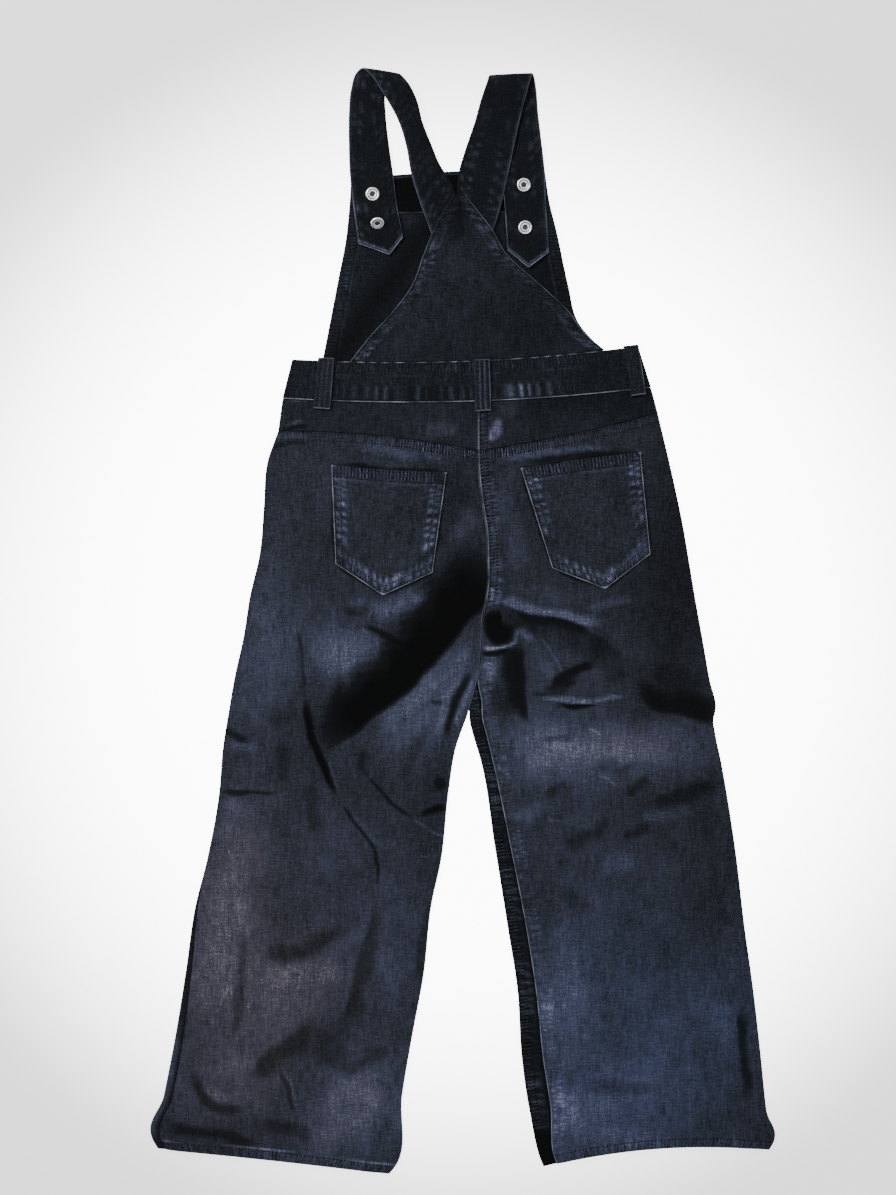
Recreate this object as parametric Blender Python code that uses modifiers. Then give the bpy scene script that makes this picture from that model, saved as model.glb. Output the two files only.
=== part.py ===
"""Bib overalls with wide cropped legs, laid flat on their front, so that the back is up.

+X runs to the right of the back view, +Y towards the straps and +Z up from the surface. A panel is a wall
of cloth on a grid: a short table gives its left and right edges section by section, and its height follows
what it lies on, the soft loft of a tube that is pressed flat, and a table of folds. Distances in those
tables are in millimetres.
"""

import math
from collections import namedtuple

import bmesh
import bpy
import numpy as np

MM = 0.001

# Cloth and seams
CLOTH = 0.0010
GAP = 0.0003
LAYER = CLOTH + GAP
WAISTBAND_WALL = 0.0016
STRAP_WALL = 0.0014
LOOP_WALL = 0.0016

# The tube of each leg, pressed flat
HIP_LOFT = 0.0032
WAIST_LOFT = 0.0012
LEG_LOFT = 0.0036
EDGE_SOFT = 0.024

# Hems and seam bands
LEG_HEM = 0.0095
SIDE_HEM = 0.0120
POCKET_HEM = 0.0125
HEM_RISE = 0.0007
SEAM_BAND = 0.0095
SEAM_RISE = 0.0005
LEAST_LIP = 0.0005
FRONT_WAIST_GAP = 0.0009
LIP_STEP = 0.00012
LIP_CLEAR = 1.3 * GAP
HEM_STEP = 0.0006
POCKET_CLEAR = 0.0001
LOOP_ARCH = 0.0010

# Below the crotch the legs part over this length, and each becomes a tube of its own
PARTING = 0.060

# A fold fades over this share of its length at each end, from this share of its height
FOLD_FADE = 0.30
FOLD_START = 0.15

# Tack buttons
BUTTON_BACK_RADIUS = 0.0063
BUTTON_BACK_HEIGHT = 0.0018
BUTTON_FRONT_RADIUS = 0.0085
BUTTON_FRONT_HEIGHT = 0.0017
BUTTON_SIDES = 16

# The bib is lifted by the fronts of the buttons under it
BIB_LIFT = 0.0020
LIFT_STARTS = 0.262
LIFT_FULL = 0.335

Section = namedtuple("Section", "left_x left_y right_x right_y bow")
LegSection = namedtuple("LegSection", "left_x left_y right_x right_y left_lip right_lip bow")
StrapSection = namedtuple("StrapSection", "left_x left_y left_up right_x right_y right_up crown")
UpperSection = namedtuple("UpperSection", "left_x left_y right_x right_y bow up")
Fold = namedtuple("Fold", "from_x from_y by_x by_y to_x to_y width rise")
Button = namedtuple("Button", "name x y tilt")


def table(kind, *rows):
    """The rows of a table as named tuples in metres."""
    return [kind(*(MM * value for value in row)) for row in rows]


# The waist, and the seam between the legs, which goes on below as the left leg's inner edge
WAIST_TOP, WAIST_BOTTOM = table(Section, (-157, 241, 161, 253, -7.5), (-166, 205, 173, 215, -8))
MIDDLE_Y = MM * np.array([-118, -80, -54, -36, -17, 4, 20, 35, 57, 83, 109, 136, 161, 200, 240])
MIDDLE_X = MM * np.array([-7, 6, 13, 16, 17, 18, 21, 23, 23, 22, 18, 15, 14, 14, 14])
CROTCH_Y = 0.020
LEGS_PART_Y = -0.080

# Each leg from the yoke seam to the hem: the outline, and how far the front panel shows beside the back one
LEFT_LEG = table(
    LegSection,
    (-170, 175, 14, 157, 0, 0, 5),
    (-180, 146, 15, 136, 0, 0, 2),
    (-183, 108, 18, 109, 0, 0, 0),
    (-187, 62, 23, 60, 0, 0, 0),
    (-196, 23, 21, 20, 0, 0, 0),
    (-202, -15, 17, -20, 0, 0, 0),
    (-210, -51, 13, -54, 0, 0, 0),
    (-215, -80, 6, -80, 0, 0, 0),
    (-221, -118, -7, -118, 0, 0, 0),
    (-224, -155, -13, -155, 0, 0, 0),
    (-235, -217, -20, -219, 0, 0, 0),
    (-246, -261, -29, -261, 2, 0, 0),
    (-255, -322, -36, -324, 5, 0, 0),
    (-264, -378, -46, -378, 7, 0, 0),
    (-275, -435, -56, -437, 8, 0, 0),
    (-285, -484, -64, -508, 8, 0, 1),
)
RIGHT_LEG = table(
    LegSection,
    (14, 157, 179, 192, 0, 0, -3),
    (16, 130, 192, 137, 0, 0, 0),
    (19, 97, 202, 90, 0, 0, 0),
    (23, 57, 208, 55, 0, 0, 0),
    (21, 20, 214, 19, 0, 0, 0),
    (17, -20, 221, -20, 0, 0, 0),
    (13, -54, 227, -54, 0, 0, 0),
    (6, -80, 232, -80, 10.5, 0, 0),
    (8, -100, 232, -103, 12, 0, 0),
    (16, -127, 237, -127, 10.5, 0, 0),
    (29, -206, 250, -206, 14, 0, 0),
    (41, -281, 259, -281, 16.5, 0, 0),
    (50, -339, 267, -339, 16.5, 0, 0),
    (54, -401, 274, -401, 19, 0, 0),
    (61, -449, 279, -449, 19, 0, 4),
    (73, -501, 285, -485, 12, 0, 9),
)

# The bib, and the triangle that carries the straps at the back. Both end on a stretch of the waist's top
# edge, given by two shares of its length. The triangle's table also says how high its underside lies.
BIB_FOOT = (0.085, 0.906)
UPPER_FOOT = (0.167, 0.903)
BIB = table(
    Section,
    (-103, 407, 75, 416, 2),
    (-104, 388, 79, 388, 0),
    (-107, 356, 86, 359, 0),
    (-116, 308, 97, 308, 0),
    (-122, 277, 105, 277, 0),
)
FACING = table(Section, (-90, 406, 62, 414, 1), (-91, 375, 67, 376, 0))
BACK_UPPER = table(
    UpperSection,
    (-8, 393, 1, 393, 0, 6.6),
    (-27, 360, 28, 358, 0, 6.6),
    (-36, 338, 39, 339, 0, 5.0),
    (-50, 304, 76, 305, 0, 4.0),
    (-68, 281, 98, 284, -1, 3.3),
    (-84, 264, 111, 266, -4, 2.9),
)
UPPER_FOOT_UP = 0.0028

# Straps, from the pointed end on the bib, up to the fold and back down to the triangle. A point reaches this
# far below the first section, at this share of the strap's width.
StrapTip = namedtuple("StrapTip", "reach place")
STRAP_TIPS = {"left": StrapTip(0.014, 0.65), "right": StrapTip(0.016, 0.5)}
STRAP_ON_BIB = 0.0054
STRAP_CROWN = 0.0005
STRAP_TIP_ROWS = 5
STRAP_LEFT = table(
    StrapSection,
    (-96, 351, 5.4, -55, 353, 5.4, 0.4),
    (-101, 384, 5.4, -61, 385, 5.4, 0.5),
    (-104, 411, 5.4, -64, 410, 5.4, 0.4),
    (-105, 438, 2.2, -68, 438, 2.2, 0.6),
    (-105, 466, 0.8, -71, 466, 0.8, 1.0),
    (-103, 489, 1.0, -71, 487, 1.0, 1.6),
    (-98, 504.3, 3.0, -62, 498, 3.0, 2.0),
    (-93, 507.8, 7.0, -56, 502, 7.0, 2.0),
    (-86, 502.5, 10.0, -51, 495, 9.5, 2.0),
    (-73, 484, 9.0, -43, 480, 8.0, 2.2),
    (-59, 459, 5.0, -37, 458, 6.0, 2.5),
    (-52, 436, 3.0, -29, 438, 4.0, 2.2),
    (-48, 413, 5.4, -22, 421, 5.4, 1.2),
    (-40, 386, 5.4, -11, 403, 5.4, 0.6),
    (-29, 356, 5.4, -5.5, 390, 5.4, 0),
)
STRAP_RIGHT = table(
    StrapSection,
    (41, 347, 5.4, 79, 345, 5.4, 0.3),
    (38, 383, 5.4, 76, 386, 5.4, 0.4),
    (35, 414, 5.4, 75, 414, 5.4, 0.4),
    (31, 443, 2.2, 72, 443, 2.2, 0.4),
    (29, 469, 0.8, 69, 469, 0.8, 0.6),
    (26, 491, 0.9, 67, 492, 0.9, 1.0),
    (25, 500, 2.8, 65, 502, 2.8, 1.4),
    (24, 501, 5.8, 64, 503, 5.8, 1.4),
    (22, 495, 7.4, 62, 498, 7.4, 1.6),
    (17, 481, 5.4, 58, 483, 5.4, 1.6),
    (11, 458, 4.4, 52, 460, 4.4, 1.2),
    (3, 433, 5.8, 46, 432, 6.8, 0.8),
    (0, 410, 5.6, 40, 404, 7.4, 0.4),
    (-3, 392, 5.4, 34, 379, 6.4, 0),
    (-3, 378, 5.4, 26, 353, 5.4, 0),
)

# Patch pockets: corners, how far the bottom runs down to its point, and where along it the point is
POCKET_LEFT = table(Section, (-121, 144, -15, 137, -1), (-117, 53, -28, 45, -25))
POCKET_RIGHT = table(Section, (53, 141, 163, 156, 1), (82, 49, 172, 62, -26))
POCKET_TIPS = {"left": 0.49, "right": 0.54}

BELT_LOOPS = {
    "left": table(Section, (-133, 245, -118, 245, 0), (-138, 196, -122, 195, 0)),
    "centre": table(Section, (10, 242, 24.5, 243, 0), (11, 193, 26, 194, 0)),
    "right": table(Section, (147, 254, 161, 256, 0), (154, 207, 168, 209, 0)),
}

# The largest folds, each from one end by a point to the other end, with its half width and its height
FOLDS = table(
    Fold,
    # left leg
    (11, 22, -58, -40, -124, -109, 24, -3.2),
    (22, -24, -35, -77, -104, -141, 15, 3.0),
    (-146, 4, -136, -98, -115, -166, 10, -2.6),
    (-163, -20, -154, -104, -133, -175, 14, 2.6),
    (-99, -127, -58, -175, -22, -197, 10, -2.0),
    (-84, -116, -45, -160, -20, -180, 12, 1.4),
    (1, -49, -7, -81, -17, -114, 10, -1.6),
    (-204, -300, -205, -348, -207, -400, 17, -2.0),
    (-165, -308, -130, -295, -90, -280, 14, 1.8),
    (-78, -250, -91, -307, -100, -360, 15, -2.0),
    (-250, -415, -222, -451, -165, -385, 13, -2.0),
    (-157, -380, -156, -420, -155, -470, 11, 1.6),
    (-101, 8, -72, -9, -48, -22, 12, 1.2),
    # right leg
    (28, 17, 85, 9, 142, -10, 13, 3.4),
    (26, 4, 32, -10, 40, -26, 10, -2.8),
    (49, -12, 75, -31, 98, -60, 13, 2.2),
    (62, -23, 56, -58, 47, -96, 14, -2.8),
    (70, -73, 103, -70, 140, -73, 12, 1.8),
    (158, -78, 200, -80, 240, -85, 16, -2.2),
    (150, -54, 190, -54, 232, -58, 14, 1.6),
    (70, -156, 85, -151, 100, -147, 11, 1.2),
    (168, -165, 195, -158, 225, -150, 13, 1.4),
    (257, -345, 258, -385, 259, -425, 14, -1.8),
    (120, -230, 130, -320, 142, -420, 26, 1.0),
)

# Where each button is, in metres, and its tilt in degrees: the lower left one is half sunk in the strap
BUTTONS = (
    Button("left_upper", -0.083, 0.394, 0.0),
    Button("left_lower", -0.079, 0.367, 9.0),
    Button("right_upper", 0.056, 0.402, 0.0),
    Button("right_lower", 0.057, 0.363, 0.0),
)

# Colours (linear RGB)
DENIM = (0.012, 0.013, 0.022)
DENIM_UPPER = (0.009, 0.010, 0.016)
DENIM_INSIDE = (0.007, 0.007, 0.010)
STEEL = (0.42, 0.43, 0.45)


def smoothstep(value):
    value = np.clip(value, 0.0, 1.0)
    return value * value * (3.0 - 2.0 * value)


def smoothed(at, along, values):
    """Values given at rising places along a line, read between them on smooth curves."""
    slope = np.gradient(values, along, axis=0)
    low = np.clip(np.searchsorted(along, at, side="right") - 1, 0, len(along) - 2)
    span = (along[low + 1] - along[low])[:, None]
    t = (at - along[low])[:, None] / span
    return (
        (2 * t**3 - 3 * t**2 + 1) * values[low]
        + (t**3 - 2 * t**2 + t) * slope[low] * span
        + (3 * t**2 - 2 * t**3) * values[low + 1]
        + (t**3 - t**2) * slope[low + 1] * span
    )


def along_rows(rows, places=None, steps=None):
    """A table's rows read between its sections, at places along its middle line or in equal steps."""
    middle = section_middles(rows)
    along = np.concatenate([[0.0], np.cumsum(np.linalg.norm(np.diff(middle, axis=0), axis=1))])
    at = places(along[-1]) if places else np.linspace(0.0, along[-1], steps + 1)
    return smoothed(at, along, np.array(rows, float))


def section_middles(rows):
    """The middle of each section, with its height where the table gives one."""
    points = []
    for row in rows:
        up = (row.left_up + row.right_up) / 2 if isinstance(row, StrapSection) else 0.0
        points.append(((row.left_x + row.right_x) / 2, (row.left_y + row.right_y) / 2, up))
    return np.array(points)


def tent(share, place):
    """A line that rises from nothing at the edges of a section to 1 at one place across it."""
    return np.where(share < place, share / place, (1 - share) / (1 - place))


def bowed(left, right, share, bow):
    """Points across a section, share of the way from left to right, bowed up or down in the middle."""
    run = right - left
    square = np.stack([-run[:, 1], run[:, 0]], axis=1) / np.linalg.norm(run, axis=1)[:, None]
    reach = 4 * share * (1 - share) * bow[:, None]
    return left[:, None] + run[:, None] * share[..., None] + square[:, None] * reach[..., None]


def part_of(section, start, end):
    """The stretch of a bowed section between two shares of its length."""
    one = np.array([section], float)
    ends = bowed(one[:, 0:2], one[:, 2:4], np.array([[start, end]]), one[:, 4])[0]
    return Section(*ends[0], *ends[1], section.bow * (end - start) ** 2)


def raised(section, y):
    return section._replace(left_y=section.left_y + y, right_y=section.right_y + y)


def middle_x(y):
    """The seam between the legs, at each height of the back view."""
    y = np.clip(y, MIDDLE_Y[0], MIDDLE_Y[-1])
    return smoothed(y.ravel(), MIDDLE_Y, MIDDLE_X[:, None]).reshape(y.shape)


def outline(side):
    """One outer edge of the garment from the waist down, as rising y and its x."""
    rows = (WAIST_TOP, WAIST_BOTTOM, *(LEFT_LEG if side == "left" else RIGHT_LEG))
    points = np.array([(getattr(row, side + "_y"), getattr(row, side + "_x")) for row in rows])
    return points[::-1].T


def inner_edge(side):
    """One leg's inner edge below the crotch, as rising y and its x."""
    rows = LEFT_LEG if side == "left" else RIGHT_LEG
    other = "right" if side == "left" else "left"
    points = np.array([(getattr(row, other + "_y"), getattr(row, other + "_x")) for row in rows])
    return points[::-1].T


OUTLINES = {side: outline(side) for side in ("left", "right")}
INNER_EDGES = {side: inner_edge(side) for side in ("left", "right")}


def fold_height(x, y):
    """The sum of the folds: each is a soft ridge or trough round a bent line, and fades at both ends."""
    total = np.zeros_like(x)
    for fold in FOLDS:
        away = np.full_like(x, np.inf)
        fade = np.zeros_like(x)
        for t in np.linspace(0.0, 1.0, 17):
            px = (1 - t) ** 2 * fold.from_x + 2 * t * (1 - t) * fold.by_x + t**2 * fold.to_x
            py = (1 - t) ** 2 * fold.from_y + 2 * t * (1 - t) * fold.by_y + t**2 * fold.to_y
            far = np.hypot(x - px, y - py)
            nearer = far < away
            away = np.where(nearer, far, away)
            fade = np.where(nearer, smoothstep(min(t, 1 - t) / FOLD_FADE + FOLD_START), fade)
        total += fold.rise * fade * np.exp(-((away / fold.width) ** 2))
    return total


def loft(x, y):
    """How far the upper side of the flat tubes stands off the lower side: nothing at the outline."""
    on_left = x < middle_x(y)
    edges = {name: np.interp(y, *line) for name, line in OUTLINES.items()}
    inner_edges = {name: np.interp(y, *line) for name, line in INNER_EDGES.items()}
    outer = np.where(on_left, x - edges["left"], edges["right"] - x)
    inner = np.where(on_left, inner_edges["left"] - x, x - inner_edges["right"])
    parted = smoothstep((CROTCH_Y - y) / PARTING)
    edge = smoothstep(outer / EDGE_SOFT) * (1 - parted * (1 - smoothstep(inner / EDGE_SOFT)))
    full = np.interp(y, (-0.45, -0.05, 0.10, 0.20), (LEG_LOFT, LEG_LOFT, HIP_LOFT, WAIST_LOFT))
    return np.maximum(0.0, (full + fold_height(x, y)) * edge)


def top_layer(x, y):
    """The height of the underside of the back panels."""
    return LAYER + loft(x, y)


def bib_lift(y):
    return BIB_LIFT * smoothstep((y - LIFT_STARTS) / (LIFT_FULL - LIFT_STARTS))


def plain_material(name, colour, roughness, metallic=0.0):
    material = bpy.data.materials.new(name)
    material.use_nodes = True
    shader = material.node_tree.nodes["Principled BSDF"]
    shader.inputs["Base Color"].default_value = (*colour, 1.0)
    shader.inputs["Roughness"].default_value = roughness
    shader.inputs["Metallic"].default_value = metallic
    return material


def show(name, mesh, material, parts):
    """The mesh as a named object with its own material."""
    mesh.materials.append(material)
    mesh.shade_smooth()
    mesh.set_sharp_from_angle(angle=math.radians(35))
    part = bpy.data.objects.new(name, mesh)
    parts.objects.link(part)
    return part


def wall(name, plan, under, over, material, parts):
    """A wall of cloth: a grid in plan, extruded, with a height for each of its points below and above."""
    rows, columns = under.shape
    shape = bmesh.new()
    bmesh.ops.create_grid(shape, x_segments=columns - 1, y_segments=rows - 1, size=0.5)
    shape.verts.ensure_lookup_table()
    station = shape.verts.layers.int.new("station")
    for i, vertex in enumerate(shape.verts):
        vertex[station] = i
        vertex.co = (*plan.reshape(-1, 2)[i], under.flat[i])
    upper = bmesh.ops.extrude_face_region(shape, geom=list(shape.faces))["geom"]
    for vertex in (item for item in upper if isinstance(item, bmesh.types.BMVert)):
        vertex.co.z = over.flat[vertex[station]]
    shape.verts.layers.int.remove(station)
    bmesh.ops.recalc_face_normals(shape, faces=list(shape.faces))
    mesh = bpy.data.meshes.new(name)
    shape.to_mesh(mesh)
    shape.free()
    return show(name, mesh, material, parts)


def even(columns, rows):
    """The same shares across for every row."""
    return np.tile(np.linspace(0.0, 1.0, columns + 1), (rows, 1))


def to_middle(ends, side):
    """The inner ends of sections, moved onto the seam between the legs, and kept clear of it further down."""
    x, y = ends.T
    seam = middle_x(y) + (-GAP / 2 if side == "left" else GAP / 2)
    clear = np.minimum(x, seam) if side == "left" else np.maximum(x, seam)
    return np.stack([np.where(y > LEGS_PART_Y, seam, np.where(y > MIDDLE_Y[0], clear, x)), y], axis=1)


def leg_rows(side):
    """A leg's sections in plan, the hem's top edge among them."""
    def places(length):
        seat = np.linspace(SEAM_BAND, 0.13, 9)
        thigh = np.linspace(0.13, 0.38, 21)
        shin = np.linspace(0.38, length - LEG_HEM, 16)
        return np.concatenate([[0.0], seat, thigh[1:], shin[1:], [length - LEG_HEM + HEM_STEP, length]])

    rows = along_rows(LEFT_LEG if side == "left" else RIGHT_LEG, places=places)
    inner = slice(2, 4) if side == "left" else slice(0, 2)
    rows[:, inner] = to_middle(rows[:, inner], side)
    return rows


def leg_parts(rows):
    """A leg's rows as left ends, right ends, lips, bows and widths."""
    left, right = rows[:, 0:2], rows[:, 2:4]
    return left, right, np.maximum(rows[:, 4:6], 0.0), rows[:, 6], np.linalg.norm(right - left, axis=1)


def waist_side(side, gap):
    """One side's stretch of the waistband's lower edge, as a section below it."""
    across = WAIST_BOTTOM.right_x - WAIST_BOTTOM.left_x
    split = (middle_x(WAIST_BOTTOM.left_y) - WAIST_BOTTOM.left_x) / across
    shares = (0.0, split) if side == "left" else (split, 1.0)
    return raised(part_of(WAIST_BOTTOM, *shares), -gap)


def back_leg(side, material, parts):
    """A back leg panel, which stops short of the front panel's lips and lies over that panel."""
    left, right, lips, bow, width = leg_parts(leg_rows(side))
    inset = lips + LIP_CLEAR * np.minimum(lips / GAP, 1.0)
    share = even(14, len(left))
    share = inset[:, :1] / width[:, None] + share * (1 - inset.sum(axis=1) / width)[:, None]
    plan = bowed(left, right, share, bow)
    plan[0, :, 1] -= GAP / 2
    under = top_layer(plan[..., 0], plan[..., 1])
    over = under + CLOTH
    over[:2] += SEAM_RISE
    over[-2:] += HEM_RISE
    wall(f"back_leg_{side}", plan, under, over, material, parts)


def front_leg(side, material, parts):
    """A front leg panel, flat on the surface. Its lips, which show beside the back panel, are double."""
    waist = waist_side(side, FRONT_WAIST_GAP)
    rows = np.vstack([[*waist[:4], 0.0, 0.0, waist.bow], leg_rows(side)])
    inner = slice(2, 4) if side == "left" else slice(0, 2)
    rows[:1, inner] = to_middle(rows[:1, inner], side)
    left, right, lips, bow, width = leg_parts(rows)
    lip = np.maximum(lips, LEAST_LIP)
    foot = lip + LIP_STEP
    none = np.zeros(len(rows))
    stations = [none, lip[:, 0] / width, foot[:, 0] / width, none + 0.5]
    stations += [1 - foot[:, 1] / width, 1 - lip[:, 1] / width, none + 1]
    share = np.stack(stations, axis=1)
    plan = bowed(left, right, share, bow)
    over = np.full(share.shape, CLOTH)
    rise = LAYER * smoothstep((lips - LEAST_LIP) / (2 * MM))
    over[:, :2] += rise[:, :1]
    over[:, -2:] += rise[:, 1:]
    wall(f"front_leg_{side}", plan, np.zeros(share.shape), over, material, parts)


def waistbands(material, parts):
    """The front waistband on the surface and the back one over it."""
    rows = along_rows([WAIST_TOP, WAIST_BOTTOM], steps=3)
    plan = bowed(rows[:, 0:2], rows[:, 2:4], even(26, len(rows)), rows[:, 4])
    flat = np.zeros(plan.shape[:2])
    wall("front_waistband", plan, flat, flat + WAISTBAND_WALL, material, parts)
    under = waistband_top(plan[..., 0], plan[..., 1]) - WAISTBAND_WALL
    wall("back_waistband", plan, under, under + WAISTBAND_WALL, material, parts)


def waistband_top(x, y):
    return top_layer(x, y) + 2 * WAISTBAND_WALL - CLOTH


def yoke(side, material, parts):
    """A yoke, between the waistband's lower edge and the top of the leg."""
    leg = LEFT_LEG[0] if side == "left" else RIGHT_LEG[0]
    foot = raised(Section(*leg[:4], leg.bow), GAP / 2)
    rows = along_rows([waist_side(side, GAP), foot], steps=3)
    inner = slice(2, 4) if side == "left" else slice(0, 2)
    rows[:, inner] = to_middle(rows[:, inner], side)
    plan = bowed(rows[:, 0:2], rows[:, 2:4], even(14, len(rows)), rows[:, 4])
    under = top_layer(plan[..., 0], plan[..., 1])
    wall(f"yoke_{side}", plan, under, under + CLOTH, material, parts)


def bib(material, facing_material, parts):
    """The bib with its turned side hems, and the facing along the inside of its top edge."""
    foot = raised(part_of(WAIST_TOP, *BIB_FOOT), GAP)
    rows = along_rows([*BIB, foot], steps=11)
    left, right, bow = rows[:, 0:2], rows[:, 2:4], rows[:, 4]
    width = np.linalg.norm(right - left, axis=1)[:, None]
    hem, step = SIDE_HEM / width, HEM_STEP / width
    field = np.linspace(0.0, 1.0, 8) * (1 - 2 * (hem + step)) + hem + step
    share = np.hstack([0 * hem, hem, field, 1 - hem, 0 * hem + 1])
    plan = bowed(left, right, share, bow)
    under = bib_lift(plan[..., 1])
    over = under + CLOTH
    over[:, :2] += LAYER
    over[:, -2:] += LAYER
    wall("bib", plan, under, over, material, parts)

    rows = along_rows(FACING, steps=4)
    plan = bowed(rows[:, 0:2], rows[:, 2:4], even(8, len(rows)), rows[:, 4])
    under = bib_lift(plan[..., 1]) + LAYER
    wall("bib_facing", plan, under, under + CLOTH, facing_material, parts)


def back_upper(material, parts):
    """The triangle between the waistband and the straps, over the bib."""
    foot = raised(part_of(WAIST_TOP, *UPPER_FOOT), GAP)
    rows = along_rows([*BACK_UPPER, UpperSection(*foot, UPPER_FOOT_UP)], steps=13)
    plan = bowed(rows[:, 0:2], rows[:, 2:4], even(12, len(rows)), rows[:, 4])
    under = np.tile(rows[:, 5:6], (1, plan.shape[1]))
    wall("back_upper", plan, under, under + CLOTH, material, parts)


def strap(side, sections, material, parts):
    """A ribbon with a pointed end, up over the fold and down to the triangle. Solidify gives its wall."""
    rows = along_rows(sections, steps=40)
    left, right, crown = rows[:, 0:3], rows[:, 3:6], rows[:, 6]
    share = np.linspace(0.0, 1.0, 5)
    points = left[:, None] + (right - left)[:, None] * share[:, None]
    points[..., 2] += 4 * share * (1 - share) * crown[:, None]
    tip = STRAP_TIPS[side]
    fades = smoothstep(1 - np.arange(len(rows)) / STRAP_TIP_ROWS)
    points[..., 1] -= tip.reach * tent(share, tip.place) * fades[:, None]
    shape = bmesh.new()
    bmesh.ops.create_grid(shape, x_segments=len(share) - 1, y_segments=len(rows) - 1, size=0.5)
    for vertex, point in zip(shape.verts, points.reshape(-1, 3)):
        vertex.co = point
    mesh = bpy.data.meshes.new(f"strap_{side}")
    shape.to_mesh(mesh)
    shape.free()
    part = show(f"strap_{side}", mesh, material, parts)
    solidify = part.modifiers.new("wall", "SOLIDIFY")
    solidify.thickness = STRAP_WALL
    solidify.offset = 0.0
    return part


def pocket(side, corners, material, parts):
    """A patch pocket on the back leg: its mouth at the top is hemmed, and its bottom runs to a point."""
    def places(length):
        field = np.linspace(POCKET_HEM, length, 8)[1:]
        return np.concatenate([[0.0, POCKET_HEM, POCKET_HEM + HEM_STEP], field])

    rows = along_rows(corners, places=places)
    place = POCKET_TIPS[side]
    share = np.tile(np.sort([*np.linspace(0.0, 1.0, 11), place]), (len(rows), 1))
    left, right = rows[:, 0:2], rows[:, 2:4]
    plan = left[:, None] + (right - left)[:, None] * share[..., None]
    plan[..., 1] += tent(share, place) * rows[:, 4:5]
    under = top_layer(plan[..., 0], plan[..., 1]) + LAYER + POCKET_CLEAR
    over = under + CLOTH
    over[:2] += HEM_RISE
    wall(f"pocket_{side}", plan, under, over, material, parts)


def belt_loop(place, ends, material, parts):
    """A strip of folded cloth across the waistband, which it clears by a little more in the middle."""
    rows = along_rows(ends, steps=8)
    plan = bowed(rows[:, 0:2], rows[:, 2:4], even(4, len(rows)), rows[:, 4])
    along = np.linspace(0.0, 1.0, len(rows))
    arch = 4 * along * (1 - along) * LOOP_ARCH
    under = waistband_top(plan[..., 0], plan[..., 1]).max(axis=1) + GAP + arch
    under = np.tile(under[:, None], (1, plan.shape[1]))
    wall(f"belt_loop_{place}", plan, under, under + LOOP_WALL, material, parts)


def turned(name, profile, material, parts):
    """A round piece from its profile, which runs down its outer side from the axis to the axis."""
    mesh = bpy.data.meshes.new(name)
    edges = [(i, i + 1) for i in range(len(profile) - 1)]
    mesh.from_pydata([(radius, 0.0, height) for radius, height in profile], edges, [])
    part = show(name, mesh, material, parts)
    screw = part.modifiers.new("turn", "SCREW")
    screw.steps = screw.render_steps = BUTTON_SIDES
    screw.use_merge_vertices = True
    screw.merge_threshold = 0.00001
    return part


def buttons(material, parts):
    """A tack button in two halves: the disc with a ring groove on the strap, and the cap under the bib."""
    r, h = BUTTON_BACK_RADIUS, BUTTON_BACK_HEIGHT
    back = [(0, 0.5 * h), (0.24 * r, 0.5 * h), (0.42 * r, h), (0.80 * r, 0.95 * h), (r, 0.5 * h)]
    back += [(r, 0), (0, 0)]
    r, h = BUTTON_FRONT_RADIUS, BUTTON_FRONT_HEIGHT
    front = [(0, h), (r, h), (r, 0.3 * h), (0.94 * r, 0), (0, 0)]
    for button in BUTTONS:
        top = STRAP_ON_BIB + STRAP_WALL / 2 + STRAP_CROWN + GAP
        part = turned(f"button_back_{button.name}", back, material, parts)
        tilt = math.radians(button.tilt)
        part.location = (button.x, button.y, top + BUTTON_BACK_RADIUS * math.sin(tilt))
        part.rotation_euler = (tilt, 0.0, 0.0)
        part = turned(f"button_front_{button.name}", front, material, parts)
        part.location = (button.x, button.y, 0.0)


def main():
    for old in list(bpy.data.objects):
        bpy.data.objects.remove(old, do_unlink=True)
    parts = bpy.data.collections.new("overalls")
    bpy.context.scene.collection.children.link(parts)
    legs = plain_material("denim", DENIM, 0.92)
    upper = plain_material("denim upper", DENIM_UPPER, 0.92)
    inside = plain_material("denim inside", DENIM_INSIDE, 0.95)
    steel = plain_material("steel", STEEL, 0.35, 1.0)
    for side in ("left", "right"):
        front_leg(side, legs, parts)
        back_leg(side, legs, parts)
        yoke(side, legs, parts)
    waistbands(legs, parts)
    bib(upper, inside, parts)
    back_upper(upper, parts)
    strap("left", STRAP_LEFT, upper, parts)
    strap("right", STRAP_RIGHT, upper, parts)
    pocket("left", POCKET_LEFT, legs, parts)
    pocket("right", POCKET_RIGHT, legs, parts)
    for place, ends in BELT_LOOPS.items():
        belt_loop(place, ends, legs, parts)
    buttons(steel, parts)


main()
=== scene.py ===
"""Bib overalls in worn, near-black stretch denim, laid flat with the back up.

Each piece of cloth is a thin closed shell on a fine grid. Its outline comes from a short table, section by
section, and its height from what it lies on, the loft of a tube that is pressed flat, and a table of creases.
Distances in tables are in millimetres, and other distances in metres. +X runs to the right of the back view,
+Y towards the straps and +Z up from the floor.
"""

import math
from collections import namedtuple

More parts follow.
